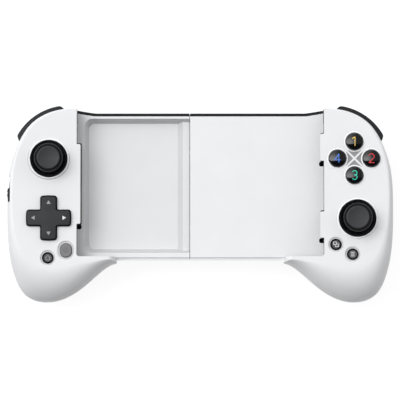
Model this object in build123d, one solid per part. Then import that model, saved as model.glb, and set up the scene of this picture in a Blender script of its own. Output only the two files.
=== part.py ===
from build123d import *
import os
from math import atan2, cos, degrees, radians, sin, sqrt

# A telescopic wireless gamepad, closed. Two grips clamp a phone or small tablet between them.
# +X is the player's right, +Y the shoulder buttons, +Z comes out of the face. Millimetres.
# The origin is on the surface that the lobes and heels rest on, under the middle of the whole.
# The right-hand side is drawn, and what the two sides share is mirrored to the left.

# Levels, front to back
REAR_DEPTH = 17.0  # the black rear shells, up to the parting line
FRONT_DEPTH = 19.0  # the white front shells, from there to the face
CRADLE_DEPTH = 11.5  # the faces down to the cradle plate
FACE_SKIN = 2.2
PLATE_SKIN = 2.0
POCKET_DEPTH = 5.0
POCKET_FLOOR = 1.5
CARRIAGE_THICK = 4.0
BASE_SKIN = 1.9
RUN = 0.3  # running gap between sliding pieces
SEAT = 0.1  # gap between pieces of one body
FACE = REAR_DEPTH + FRONT_DEPTH
PLATE = FACE - CRADLE_DEPTH
SKIN_UNDER = FACE - FACE_SKIN
POCKET_Z = PLATE - POCKET_DEPTH
CARRIAGE_TOP = POCKET_Z - POCKET_FLOOR - RUN
CARRIAGE_LOW = CARRIAGE_TOP - CARRIAGE_THICK
BASE_TOP = CARRIAGE_LOW - RUN
BACK = BASE_TOP - BASE_SKIN

# The cradle and its bridge
CRADLE_HALF = 71.2  # the middle to each clamping wall
CRADLE_WALL = 1.8
CRADLE_CORNER = 1.6
BRIDGE_TOP = 51.0
BRIDGE_LOW = -30.7
BRIDGE_DRAFT = 1.0  # how far the lower wall leans out
BRIDGE_WALL = 2.0
BRIDGE_TONGUE = 4.8  # how far the bridge reaches into each grip
TONGUE_TOP = 46.5
TONGUE_DROP = 0.3  # the tongues lie lower than the plate, under the clamping walls
SEAM_X = -6.1  # where the two halves butt together
SEAM_GAP = 0.3
BAND_OUT = 2.2  # the black base beyond the white cover
BAND_Z = BASE_TOP + 5.6
FLARE = 10.6  # the bridge's top edge rises over this length towards each grip
FLARE_RISE = 1.7
FLARE_BOW = 0.44  # share of the rise at its middle

# The grip's outline, mirrored for the left: each row is one station round the right grip.
# Distances across are from the clamping wall. A row has the edge of the face, the widest line,
# the share of the front depth that the round takes, and the edge of the flat back.
STATIONS = [
    ((-5.2, 53.6), (-5.2, 54.5), 0.08, (5.0, 40.0)),
    ((6.3, 53.5), (6.7, 54.4), 0.08, (8.0, 41.0)),
    ((14.4, 51.4), (15.3, 52.5), 0.08, (12.0, 40.0)),
    ((25.4, 44.0), (26.8, 45.2), 0.08, (18.0, 35.0)),
    ((30.4, 36.6), (32.2, 37.4), 0.10, (20.5, 31.0)),
    ((36.0, 18.5), (38.6, 18.9), 0.24, (23.0, 15.0)),
    ((36.8, 4.0), (39.8, 4.0), 0.32, (23.5, 3.0)),
    ((36.0, -11.0), (39.9, -12.0), 0.44, (23.3, -9.0)),
    ((33.3, -22.0), (39.0, -27.0), 0.55, (22.5, -17.0)),
    ((28.5, -31.5), (36.1, -41.0), 0.74, (20.5, -24.5)),
    ((22.0, -35.8), (29.6, -52.4), 0.90, (18.0, -29.5)),
    ((15.0, -36.9), (19.0, -56.3), 0.97, (14.5, -32.0)),
    ((6.5, -36.3), (6.5, -53.9), 0.93, (11.0, -31.0)),
    ((-2.2, -34.6), (-5.3, -46.2), 0.84, (8.0, -27.0)),
    ((-9.2, -33.4), (-13.6, -38.9), 0.74, (4.0, -22.0)),
    ((-14.2, -32.7), (-18.9, -35.2), 0.58, (0.0, -18.0)),
    ((-18.0, -32.3), (-23.0, -33.7), 0.47, (-3.0, -14.0)),
]
INNER_STATIONS = [
    ((-20.0, -20.0), (-20.0, -20.0), 0.5, (-3.0, -6.0)),
    ((-16.0, 10.0), (-16.0, 10.0), 0.3, (-1.0, 10.0)),
    ((-9.0, 40.0), (-9.0, 40.0), 0.2, (2.0, 28.0)),
]
FRONT_STEPS = (0, 0.2, 0.45, 0.75, 1)  # shares of the front depth, squared towards the face
REAR_TURNS = (0, 30, 60, 90)  # degrees round the rear quarter
HOLLOW = [  # inside the front shell, from the clamping wall
    (1.8, 48.0),
    (9.0, 47.5),
    (17.0, 43.5),
    (23.0, 38.5),
    (28.0, 33.0),
    (31.3, 30.3),
    (34.2, 26.0),
    (34.8, 4.0),
    (34.0, -9.0),
    (31.0, -20.0),
    (25.0, -31.0),
    (19.5, -36.5),
    (10.0, -37.0),
    (3.0, -34.0),
    (1.8, -31.0),
]
REAR_HOLLOW = [(5.6, 38), (12, 38), (18, 34), (24, 28), (29.5, 20), (30.5, 4), (30, -9), (22, -27), (5.6, -27)]
REAR_SKIN = 10.2  # depth of plastic behind the rear hollow
GROOVE_RADIUS = 24.0  # the finger groove across each back
GROOVE_Y = 8.0
GROOVE_DEPTH = 8.0

# Clamping lips, as lowest and highest Y, and the dark windows under them
LIP_REACH = 2.2
LIP_THICK = 2.0
LEFT_LIPS = [(-12.0, 34.0)]
RIGHT_LIPS = [(-20.0, -4.9), (24.4, 39.9)]
WINDOW_BELOW = 2.4
WINDOW_SLIT = 0.4

# The camera pocket in the left half
POCKET_X = (-CRADLE_HALF + 4.3, SEAM_X - 4.5)
POCKET_Y = (BRIDGE_LOW + 2.6, BRIDGE_TOP - 1.3)
POCKET_DRAFT = 2.45
POCKET_CORNER = 3.4
LEDGE_DROP = 2.5
LEDGE_INSET = 1.6

# Thumbsticks
STICK_PIVOT_DROP = 9.0  # the pivot below the face
STICK_HEIGHT = 9.5  # the cap above the face
STICK_CAP_R = 8.8
STICK_DISH_R = 6.5
STICK_DISH_DEPTH = 1.1
STICK_BEVEL = 0.6
STICK_SIDES = 40
BUTTON_SIDES = 32
STICK_CAP_THICK = 3.5
STICK_STEM_R = 3.4
STICK_SKIRT_R = 8.3
STICK_SKIRT = (5.4, 6.1)  # the skirt's two faces above the pivot
STICK_PRESS = 0.5
POST_TOP = 4.0  # the post's end above the face
COLLAR_R = 9.8
COLLAR_WALL = 1.0
BEZEL_R = 12.15
BEZEL_PROUD = 0.8
POST_SIDE = 2.6
STICK_BLOCK = 12.0  # side of the square gimbal housing
STICK_BLOCK_HEIGHT = 8.6
GIMBAL = 8.6  # side of the square yoke
GIMBAL_PIN_R = 0.8
PIN_SIDES = 8  # hidden pins are octagonal, so that they stay light
HUB = 4.6
LEFT_STICK = (16.0, 25.5)
RIGHT_STICK = (19.2, -8.8)

# Directional pad and buttons, each placed from the clamping wall
DPAD = (16.0, -8.7)
DPAD_SPAN = 26.3
DPAD_ARM = 9.7
DPAD_PROUD = 2.2
DPAD_BEVEL = 0.55
DPAD_GAP = 0.4
DPAD_PIVOT_DROP = 3.0
DPAD_FLANGE = 0.8
DPAD_TILT_ROOM = 1.75
DPAD_SEAT = 0.13  # the pivot above its post, so that it can rock
DPAD_LEG_R = 9.0  # the legs' distance from the middle
DPAD_POST_R = 1.1
CLUSTER = (17.5, 25.65)
CLUSTER_PITCH = 9.75
KEY_R = 5.2
KEY_PROUD = 2.2
KEY_BEVEL = 0.8
KEY_GAP = 0.25
KEY_TRAVEL = 1.2
SMALL_R = 3.4
SMALL_PROUD = 0.5
SMALL_BEVEL = 0.3
RECESS_R = 4.4
RECESS_DEPTH = 0.6
HOME = (16.5, -31.6)
CAPTURE = (6.1, -27.3)
CAPTURE_SIZE = (7.0, 8.4)
SELECT = (6.7, -23.9)
MENU = (16.3, -29.5)
LIP = 0.5  # how far the retaining ears reach past each button
EAR_WIDTH = 3.0
LIP_HEIGHT = 1.0
KEY_DEPTH = 11.0  # the face down to each button's foot
KEY_FOOT = 4.4
SMALL_FOOT = 2.6
BOARD_DROP = 16.0  # the face down to the circuit board
BOARD_THICK = 1.6
BOARD_GAP = 0.4
PAD_THICK = 1.0
PAD_DOME_R = 2.4

# Shoulder buttons and triggers, on one arc round the upper corner
SHOULDER_START = (6.7, 54.3)
SHOULDER_MID = (21.3, 49.7)
SHOULDER_END = (33.5, 35.8)
BUMPER_OUT = 2.3
BUMPER_IN = 2.8
BUMPER_PIN = (3.0, -1.5)  # along the chord, and beyond the arc
BUMPER_HEIGHT = 11.0
BUMPER_DROP = 3.0  # the face down to the bumper
BUMPER_ROOM = 2.0  # space behind it to move into
TRIGGER_OUT = 1.6
TRIGGER_WALL = 2.4
TRIGGER_LOW = 3.0
TRIGGER_CHEEK = (3.0, 1.6)  # how deep the cheeks and the bottom lip run, and how thick
TRIGGER_ROOM = 7.0
TRIGGER_PIN_Z = REAR_DEPTH - 3.6
TRIGGER_TRIM = 1.2  # behind the chord, so that the ends of the cheeks clear the screws
TRIGGER_RELIEF = 1.2  # lower behind the pin, so that the top clears the front shell
TRIGGER_ARM = 6.5  # the middle of the chord to each arm
BARREL_R = 2.1
PIN_R = 1.0
BUMPER_PIN_R = 0.8
END_GAP = 0.5
EDGE_BEVEL = 0.9
BRACKET_WALL = 0.5  # plastic in front of the trigger's pin and under it

# Power switch on the left flank, socket on the top edge of the right half
SWITCH_Y = 5.7
SWITCH_Z = FACE - 12.0
SWITCH_SIZE = (8.0, 3.0)
SWITCH_TRAVEL = 3.0
SWITCH_OUT = 40.5
SWITCH_FLANGE = (32.9, 34.1)
SOCKET_X = CRADLE_HALF - 31.2
SOCKET_SIZE = (9.0, 7.4, 3.2)

# The slide: one carriage on two rails runs half as far as the right grip
CARRIAGE_X = (-CRADLE_HALF + 5.2, CRADLE_HALF - 9.2)
CARRIAGE_Y = (-20.0, 38.0)
RAIL_Y = (-13.0, 31.0)
RAIL_R = 1.5
RAIL_SLOT = 6.0
SPRING_R = 1.6
SPRING_Y = (2.0, 16.0)
SPRING_ANCHOR = (CARRIAGE_X[0] + 8.0, CARRIAGE_X[1] - 6.0)  # a post on each half
SPRING_END = (-12.0, 12.0)  # where each ends on the carriage
SPRING_POST_R = 0.9
BUSH_OFFSET = 9.0  # from the seam to the middle of each bush
BUSH_SIZE = (6.0, 5.2)
RIB_THICK = 1.2
RIBBON_X = (-CRADLE_HALF + 1.2, CRADLE_HALF - 31.2)
RIBBON_Y = (BRIDGE_LOW + 2.4, CARRIAGE_Y[0] - 2.2)
RIBBON_THICK = 0.4
BATTERY = ((8.0, 27.0), (-14.0, 22.0), 5.5)

SCREWS = [(3.0, TONGUE_TOP + 3.1, 9.0), (15.0, -42.0, 5.0), (37.0, -5.0, 11.5)]  # across, up, head seat
SCREW_R = 1.1
SCREW_HEAD_R = 2.2
SCREW_END = REAR_DEPTH + 6.0

BIG = 200.0


def block(x, y, z):
    """A box between two corners, each given as (low, high)."""
    size = Box(x[1] - x[0], y[1] - y[0], z[1] - z[0], align=(Align.MIN, Align.MIN, Align.MIN))
    return Pos(x[0], y[0], z[0]) * size


def rod(x, y, z_low, z_high, radius):
    return Pos(x, y, z_low) * Cylinder(radius, z_high - z_low, align=(Align.CENTER, Align.CENTER, Align.MIN))


def prism(points, z_low, z_high):
    return Pos(0, 0, z_low) * extrude(make_face(Polyline(*points, close=True)), z_high - z_low)


def left(shape):
    return mirror(shape, Plane.YZ)


def on_side(shape, side):
    """A shape drawn on the right, kept there for 1 or mirrored for -1."""
    return shape if side > 0 else left(shape)


def across(place):
    """A place on the right half, given from the clamping wall."""
    return (CRADLE_HALF + place[0], place[1])


def many_sided(radius, sides, z_low, z_high):
    """A round form that repeats, with flats so fine that it stays light."""
    return Pos(0, 0, z_low) * extrude(RegularPolygon(radius, sides), z_high - z_low)


def pin(radius, length, axis):
    """An octagonal pin, centred on the origin along X or Y."""
    flats = Rot(0, 0, 180 / PIN_SIDES) * RegularPolygon(radius, PIN_SIDES)
    along = Rot(0, 90, 0) if axis == "x" else Rot(90, 0, 0)
    return along * extrude(flats, length / 2, both=True)


def pin_hole(axis):
    """A through hole that a turning gimbal pin clears at every angle."""
    return pin(GIMBAL_PIN_R / cos(radians(180 / PIN_SIDES)) + SEAT, BIG, axis)


# Grip shells


def station_at(station, z):
    edge, wide, front_share, back = station
    if z >= REAR_DEPTH:
        turn = min(1, (FACE - z) / FRONT_DEPTH / front_share)
        share = sqrt(1 - (1 - turn) ** 2)
        start, end = edge, wide
    else:
        turn = min(1, (REAR_DEPTH - z) / REAR_DEPTH)
        share = 1 - sqrt(1 - turn**2)
        start, end = wide, back
    x, y = (a + (b - a) * share for a, b in zip(start, end))
    return (CRADLE_HALF + x, y, z)


def grip_section(z):
    outer = [station_at(s, z) for s in STATIONS]
    inner = [outer[-1]] + [station_at(s, z) for s in INNER_STATIONS] + [outer[0]]
    return Wire([Edge.make_spline(outer), Edge.make_spline(inner)])


def grip_front():
    levels = [FACE - FRONT_DEPTH * s**2 for s in reversed(FRONT_STEPS)]
    return Solid.make_loft([grip_section(z) for z in levels], ruled=True)


def grip_rear():
    levels = [REAR_DEPTH * (1 - sin(radians(a))) for a in REAR_TURNS]
    return Solid.make_loft([grip_section(z) for z in levels], ruled=True)


def bridge_profile(top_gap, low_gap):
    """The bridge's section across, up to the cradle plate."""
    y_top = BRIDGE_TOP + top_gap
    y_low = BRIDGE_LOW - low_gap
    return [(y_low - BRIDGE_DRAFT, BASE_TOP), (y_low, PLATE), (y_top, PLATE), (y_top, BASE_TOP)]


def cradle_opening():
    """The clear space beside the right-hand clamping wall, with its rounded lower corner."""
    opening = block((-BIG, CRADLE_HALF), (BRIDGE_LOW, BIG), (0, BIG))
    corner = opening.edges().filter_by(Axis.Z).sort_by_distance((CRADLE_HALF, BRIDGE_LOW, FACE))[0]
    return fillet(corner, CRADLE_CORNER)


def flare(y, z_low, z_high):
    """What the bridge's top edge, at y, gains towards the right-hand clamping wall."""
    end = CRADLE_HALF - SEAT
    start = end - FLARE
    high = y + FLARE_RISE
    outline = ThreePointArc((start, y), ((start + end) / 2, y + FLARE_RISE * FLARE_BOW), (end, high))
    outline += Polyline((end, high), (end, y - 1), (start, y - 1), (start, y))
    return Pos(0, 0, z_low) * extrude(make_face(outline), z_high - z_low)


def along_x(points, x_low, x_high):
    """A prism along X from (y, z) points."""
    face = make_face(Polyline(*[(x_low, y, z) for y, z in points], close=True))
    return extrude(face, x_high - x_low, dir=(1, 0, 0))


def hollow(points, z_low, z_high):
    return prism([across(p) for p in points], z_low, z_high)


# The shoulder's arc, and a frame with its u along the chord from the inner end

SHOULDER = ThreePointArc(across(SHOULDER_START), across(SHOULDER_MID), across(SHOULDER_END))
SHOULDER_C = SHOULDER.arc_center
SHOULDER_R = SHOULDER.radius
CHORD = Vector(*across(SHOULDER_END)) - Vector(*across(SHOULDER_START))
CHORD_FRAME = Plane(origin=across(SHOULDER_START) + (0,), x_dir=CHORD, z_dir=(0, 0, 1))
CHORD_MIDDLE = CHORD.length / 2
SAGITTA = SHOULDER_R - sqrt(SHOULDER_R**2 - CHORD_MIDDLE**2)
TRIGGER_PIN_V = SAGITTA - TRIGGER_ROOM + BARREL_R + END_GAP


def arc_height(u):
    """How far the shoulder's arc stands out from its chord."""
    return sqrt(SHOULDER_R**2 - (u - CHORD_MIDDLE) ** 2) - SHOULDER_R + SAGITTA


def shoulder_band(inner, outer, z_low, z_high, end_gap):
    """A slice of ring round the shoulder, from inner to outer beyond its arc."""
    ring = rod(SHOULDER_C.X, SHOULDER_C.Y, z_low, z_high, SHOULDER_R + outer)
    ring -= rod(SHOULDER_C.X, SHOULDER_C.Y, z_low, z_high, SHOULDER_R + inner)
    strip = in_chord((end_gap, CHORD.length - end_gap), (-SHOULDER_R / 2, SHOULDER_R), (z_low, z_high))
    return ring & strip


def in_chord(u, v, z):
    """A box in the chord frame, each side as (low, high)."""
    return CHORD_FRAME * block(u, v, z)


def rod_in_chord(u, v, z, radius):
    """A pin along the chord, with u as (low, high)."""
    pin = Cylinder(radius, u[1] - u[0], rotation=(0, 90, 0))
    return CHORD_FRAME * Pos((u[0] + u[1]) / 2, v, z) * pin


def outer_bevelled(band):
    """The band with the edges of its outermost face bevelled."""
    outermost = max(band.faces().filter_by(GeomType.CYLINDER), key=lambda f: f.radius)
    return chamfer(outermost.edges(), EDGE_BEVEL)


def bumper_pin(clearance):
    u, beyond = BUMPER_PIN
    at = CHORD_FRAME * Pos(u, arc_height(u) + beyond, 0)
    low = FACE - BUMPER_DROP - BUMPER_HEIGHT - BUMPER_PIN_R * 2
    high = FACE - BUMPER_DROP + BUMPER_PIN_R * 2
    return at * many_sided(BUMPER_PIN_R + clearance, PIN_SIDES, low - clearance, high + clearance)


def build_bumper():
    high = FACE - BUMPER_DROP
    band = shoulder_band(-BUMPER_IN, BUMPER_OUT, high - BUMPER_HEIGHT, high, END_GAP)
    return outer_bevelled(band) - bumper_pin(SEAT + BUMPER_PIN_R / 8)


def build_trigger():
    """A hollow trigger with cheeks, a bottom lip and two arms to its barrel."""
    top = REAR_DEPTH - END_GAP
    deep, thick = TRIGGER_CHEEK
    trigger = outer_bevelled(shoulder_band(-deep, TRIGGER_OUT, TRIGGER_LOW, top, END_GAP))
    inside = TRIGGER_OUT - TRIGGER_WALL
    trigger -= shoulder_band(-2 * deep, inside, TRIGGER_LOW + thick, BIG, END_GAP + thick)
    trigger -= in_chord((0, CHORD.length), (-BIG, -TRIGGER_TRIM), (0, BIG))
    trigger -= in_chord((0, CHORD.length), (-BIG, TRIGGER_PIN_V + PIN_R), (top - TRIGGER_RELIEF, BIG))
    reach = SAGITTA + inside
    for side in (-1, 1):
        u = CHORD_MIDDLE + side * TRIGGER_ARM
        trigger += in_chord((u - 1, u + 1), (TRIGGER_PIN_V, reach), (TRIGGER_PIN_Z - 2, TRIGGER_PIN_Z + 2))
    barrel = (CHORD_MIDDLE - TRIGGER_ARM - 1, CHORD_MIDDLE + TRIGGER_ARM + 1)
    trigger += rod_in_chord(barrel, TRIGGER_PIN_V, TRIGGER_PIN_Z, BARREL_R)
    return trigger - rod_in_chord(barrel, TRIGGER_PIN_V, TRIGGER_PIN_Z, PIN_R + SEAT)


def trigger_pin(clearance):
    ends = (CHORD_MIDDLE - TRIGGER_ARM - 3.2, CHORD_MIDDLE + TRIGGER_ARM + 3.2)
    return rod_in_chord(ends, TRIGGER_PIN_V, TRIGGER_PIN_Z, PIN_R + clearance)


def build_shoulder_pins():
    return Compound(children=[trigger_pin(0), bumper_pin(0)])


def build_front_shell(lips):
    shell = grip_front()
    wall_x = CRADLE_HALF
    shell -= cradle_opening()
    tongue = along_x(bridge_profile(SEAT, SEAT), 0, wall_x + BRIDGE_TONGUE + SEAT)
    shell -= tongue - block((wall_x, BIG), (TONGUE_TOP + SEAT, BIG), (0, BIG))
    shell -= hollow(HOLLOW, 0, SKIN_UNDER)
    top = FACE - BUMPER_DROP + RUN
    low = FACE - BUMPER_DROP - BUMPER_HEIGHT - RUN
    shell -= shoulder_band(-BUMPER_IN - BUMPER_ROOM, 4 * BUMPER_OUT, low, top, 0)
    shell -= bumper_pin(0)
    for y_low, y_high in lips:
        shell += block((wall_x - LIP_REACH, wall_x + CRADLE_WALL / 2), (y_low, y_high), (FACE - LIP_THICK, FACE))
    for x, y, seat in SCREWS:
        shell -= Pos(wall_x + x, y, REAR_DEPTH) * screw_shank(SCREW_END + SEAT - REAR_DEPTH, 0)
    return shell


def screw_shank(length, clearance):
    return extrude(RegularPolygon(SCREW_R + clearance, 6), length)


def opened_for_stick(shell, place):
    """Adds the raised lip round a thumbstick and cuts the hole."""
    x, y = across(place)
    hole_r = COLLAR_R + COLLAR_WALL + SEAT
    return shell + rod(x, y, FACE - 1, FACE + BEZEL_PROUD, BEZEL_R) - rod(x, y, 0, BIG, hole_r)


def opened_for_small(shell, place, clearance):
    """Sinks a shallow ring in the face and cuts a small button's hole."""
    x, y = across(place)
    shell -= rod(x, y, FACE - RECESS_DEPTH, BIG, RECESS_R)
    return shell - rod(x, y, 0, BIG, SMALL_R + clearance)


def cross(grown, z_low, z_high):
    """The directional pad's outline, grown all round."""
    span = DPAD_SPAN + 2 * grown
    arm = DPAD_ARM + 2 * grown
    outline = Rectangle(span, arm) + Rectangle(arm, span)
    return Pos(0, 0, z_low) * extrude(outline, z_high - z_low)


def build_right_front():
    shell = opened_for_stick(build_front_shell(RIGHT_LIPS), RIGHT_STICK)
    for x, y in key_places():
        shell -= rod(x, y, 0, BIG, KEY_R + KEY_GAP)
    for place in (SELECT, MENU):
        shell = opened_for_small(shell, place, KEY_GAP)
    return shell


def build_left_front():
    shell = opened_for_stick(build_front_shell(LEFT_LIPS), LEFT_STICK)
    shell -= Pos(*across(DPAD), 0) * cross(DPAD_GAP, 0, BIG)
    shell = opened_for_small(shell, HOME, KEY_GAP)
    x, y = across(CAPTURE)
    ring = RECESS_R - SMALL_R
    shell -= Pos(x, y, FACE - RECESS_DEPTH) * capture_oval(ring, BIG)
    shell -= Pos(x, y, 0) * capture_oval(KEY_GAP, BIG)
    slot_y = (SWITCH_Y - SWITCH_SIZE[0] / 2 - SWITCH_TRAVEL - RUN, SWITCH_Y + SWITCH_SIZE[0] / 2 + RUN)
    slot_z = (SWITCH_Z - SWITCH_SIZE[1] / 2 - RUN, SWITCH_Z + SWITCH_SIZE[1] / 2 + RUN)
    shell -= block((CRADLE_HALF + SWITCH_FLANGE[0], BIG), slot_y, slot_z)
    return left(shell)


def build_rear_shell():
    shell = grip_rear()
    wall_x = CRADLE_HALF
    band = BRIDGE_TOP + BAND_OUT
    corner = (band - 1, SHOULDER_START[1])
    shell += block((wall_x, wall_x + SHOULDER_START[0]), corner, (BACK, REAR_DEPTH))
    low = BRIDGE_LOW - BRIDGE_DRAFT - SEAT
    shell -= block((0, wall_x + SEAT), (low, BIG), (BACK - SEAT, BIG))
    shell -= block((0, wall_x + BRIDGE_TONGUE + SEAT), (low, TONGUE_TOP + SEAT), (BACK - SEAT, BIG))
    flank = make_face(
        Polyline((wall_x + 3, -1), (0, -1), (0, BACK - SEAT), (wall_x - 16, BACK - SEAT))
        + ThreePointArc((wall_x - 16, BACK - SEAT), (wall_x - 3, BACK * 0.6), (wall_x + 3, -1))
    )
    shell -= extrude(Plane.XZ * flank, BIG / 2, both=True)
    shell -= hollow(REAR_HOLLOW, REAR_SKIN, BIG)
    groove = Cylinder(GROOVE_RADIUS, BIG, rotation=(0, 90, 0))
    shell -= Pos(wall_x, GROOVE_Y, GROOVE_DEPTH - GROOVE_RADIUS) * groove
    shell -= shoulder_band(-TRIGGER_ROOM, 4 * BUMPER_OUT, 0, BIG, 0)
    for side in (-1, 1):
        u = CHORD_MIDDLE + side * (TRIGGER_ARM + 2.3)
        z = (TRIGGER_PIN_Z - PIN_R - BRACKET_WALL, REAR_DEPTH)
        v = (TRIGGER_PIN_V - 4.5, TRIGGER_PIN_V + PIN_R + BRACKET_WALL)
        shell += in_chord((u - 1, u + 1), v, z)
    shell -= trigger_pin(0)
    for x, y, seat in SCREWS:
        shell -= rod(wall_x + x, y, -1, seat, SCREW_HEAD_R + RUN)
        shell -= Pos(wall_x + x, y, seat - 1) * screw_shank(REAR_DEPTH, SEAT)
    return shell


# Buttons, and what is under them


def key_places():
    """Top, right, bottom and left of the cluster."""
    x, y = across(CLUSTER)
    return [(x + a * CLUSTER_PITCH, y + b * CLUSTER_PITCH) for a, b in ((0, 1), (1, 0), (0, -1), (-1, 0))]


def build_round_button(place, radius, proud, bevel, foot):
    """A crowned button with its retaining ears and a square foot."""
    lip_top = SKIN_UNDER - RUN
    lip_low = lip_top - LIP_HEIGHT
    top = FACE + proud
    button = many_sided(radius, BUTTON_SIDES, lip_low, top)
    button = chamfer(button.edges().group_by(Axis.Z)[-1], bevel)
    button += block((-radius - LIP, radius + LIP), (-EAR_WIDTH / 2, EAR_WIDTH / 2), (lip_low, lip_top))
    button += block((-foot / 2, foot / 2), (-foot / 2, foot / 2), (FACE - KEY_DEPTH, lip_low))
    return Pos(*place, 0) * button


def capture_oval(grown, height):
    """The oval button's outline as a slot, grown all round."""
    wide, tall = CAPTURE_SIZE
    return extrude(Rot(0, 0, 90) * SlotOverall(tall + 2 * grown, wide + 2 * grown), height)


def build_capture_button():
    lip_top = SKIN_UNDER - RUN
    lip_low = lip_top - LIP_HEIGHT
    body = Pos(0, 0, lip_low) * capture_oval(0, FACE + SMALL_PROUD - lip_low)
    ear = CAPTURE_SIZE[1] / 2 + LIP
    body += block((-EAR_WIDTH / 2, EAR_WIDTH / 2), (-ear, ear), (lip_low, lip_top))
    half = SMALL_FOOT / 2
    body += block((-half, half), (-half, half), (FACE - KEY_DEPTH, lip_low))
    return left(Pos(*across(CAPTURE), 0) * body)


def build_dpad():
    lip_top = SKIN_UNDER - DPAD_TILT_ROOM
    lip_low = lip_top - LIP_HEIGHT
    pad = cross(0, lip_top, FACE + DPAD_PROUD)
    pad = chamfer(pad.edges().group_by(Axis.Z)[-1], DPAD_BEVEL)
    pad += cross(DPAD_FLANGE, lip_low, lip_top)
    half = SMALL_FOOT / 2
    for x, y in ((1, 0), (0, 1), (-1, 0), (0, -1)):
        x, y = x * DPAD_LEG_R, y * DPAD_LEG_R
        pad += block((x - half, x + half), (y - half, y + half), (FACE - KEY_DEPTH, lip_low))
    pad -= rod(0, 0, lip_low, FACE - DPAD_PIVOT_DROP + 0.4, DPAD_POST_R + END_GAP)
    return left(Pos(*across(DPAD), 0) * pad)


def build_dpad_post():
    top = FACE - DPAD_PIVOT_DROP - 0.8
    post = many_sided(DPAD_POST_R, PIN_SIDES, FACE - BOARD_DROP, top)
    return left(Pos(*across(DPAD), 0) * post)


def build_dpad_pivot():
    low = FACE - DPAD_PIVOT_DROP - 0.8 + DPAD_SEAT
    tip = many_sided(DPAD_POST_R, PIN_SIDES, low, low + 1)
    return left(Pos(*across(DPAD), 0) * tip)


def build_pad(x, y, domes):
    """A rubber membrane over part of the board, with a dome under each button."""
    board = FACE - BOARD_DROP
    sheet = hollow(HOLLOW, board, board + PAD_THICK) & block(x, y, (0, BIG))
    dome_top = FACE - KEY_DEPTH - KEY_TRAVEL - SEAT
    dome = extrude(RegularPolygon(PAD_DOME_R, 8), dome_top - board - PAD_THICK, taper=10)
    for place in domes:
        sheet += Pos(place[0], place[1], board + PAD_THICK) * dome
    return sheet


def build_left_membrane():
    x, y = across(DPAD)
    legs = [(x + a * DPAD_LEG_R, y + b * DPAD_LEG_R) for a, b in ((1, 0), (0, 1), (-1, 0), (0, -1))]
    side = CRADLE_HALF + BRIDGE_TONGUE + 1
    pad = build_pad((side, side + 27), (-33, 6), legs + [across(HOME), (across(CAPTURE)[0] + 2, across(CAPTURE)[1])])
    return left(pad - rod(x, y, 0, BIG, DPAD_POST_R + END_GAP))


def build_right_membrane():
    side = CRADLE_HALF + BRIDGE_TONGUE + 1
    keys = build_pad((side, side + 27), (6, 44), key_places())
    select = (across(SELECT)[0] + 2, across(SELECT)[1])
    system = build_pad((side, side + 17), (-33, -17), [select, across(MENU)])
    return Compound(children=[keys, system])


def build_board():
    outline = make_face(Polyline(*[across(p) for p in HOLLOW], close=True))
    board = extrude(offset(outline, -BOARD_GAP, kind=Kind.INTERSECTION), BOARD_THICK)
    board = Pos(0, 0, FACE - BOARD_DROP - BOARD_THICK) * board
    return board - block((0, CRADLE_HALF + BRIDGE_TONGUE + BOARD_GAP), (-BIG, BIG), (0, BIG))


# Thumbsticks, drawn about their pivot and then put in place


def stick_at(place):
    x, y = across(place)
    return Pos(x, y, FACE - STICK_PIVOT_DROP)


def build_collar():
    top = STICK_PIVOT_DROP + BEZEL_PROUD / 2
    low = STICK_PIVOT_DROP - FACE_SKIN - LIP_HEIGHT
    outer = many_sided(COLLAR_R + COLLAR_WALL, STICK_SIDES, low, top)
    return outer - many_sided(COLLAR_R, STICK_SIDES, low, top)


def build_stick_block():
    low = STICK_PIVOT_DROP - BOARD_DROP
    half = STICK_BLOCK / 2
    room = GIMBAL / 2 + END_GAP
    housing = block((-half, half), (-half, half), (low, low + STICK_BLOCK_HEIGHT))
    housing -= block((-room, room), (-room, room), (low + 1.5, BIG))
    return housing - pin_hole("x")


def build_yoke():
    half = GIMBAL / 2
    room = HUB / 2 + 0.9
    tall = GIMBAL_PIN_R + 0.4
    yoke = block((-half, half), (-half, half), (-tall, tall)) - block((-room, room), (-room, room), (-BIG, BIG))
    pins = pin(GIMBAL_PIN_R, STICK_BLOCK, "x") - Box(GIMBAL - 1, BIG, BIG)
    return yoke + pins - pin_hole("y")


def build_rocker():
    half = HUB / 2
    hub = block((-half, half), (-half, half), (-1.9, 1.9))
    side = POST_SIDE / 2
    post = block((-side, side), (-side, side), (0, STICK_PIVOT_DROP + POST_TOP))
    return hub + post + pin(GIMBAL_PIN_R, GIMBAL - SEAT, "y")


def build_cap():
    """A thumb cap with a dished top, its stem and the skirt that closes the well."""
    top = STICK_PIVOT_DROP + STICK_HEIGHT
    low = top - STICK_CAP_THICK
    skirt_low, skirt_top = STICK_SKIRT
    cap = many_sided(STICK_CAP_R, STICK_SIDES, low, top)
    rims = cap.edges().group_by(Axis.Z)
    cap = chamfer(rims[0] + rims[-1], STICK_BEVEL)
    floor = many_sided(STICK_DISH_R, STICK_SIDES, top - STICK_DISH_DEPTH, top + STICK_DISH_DEPTH)
    cap -= chamfer(floor.edges().group_by(Axis.Z)[0], STICK_DISH_DEPTH * 0.98)
    cap += many_sided(STICK_STEM_R, BUTTON_SIDES, skirt_low, low)
    cap += many_sided(STICK_SKIRT_R, BUTTON_SIDES, skirt_low, skirt_top)
    side = POST_SIDE / 2 + SEAT
    return cap - block((-side, side), (-side, side), (0, STICK_PIVOT_DROP + POST_TOP + STICK_PRESS + SEAT))


# The bridge and its slide


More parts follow.
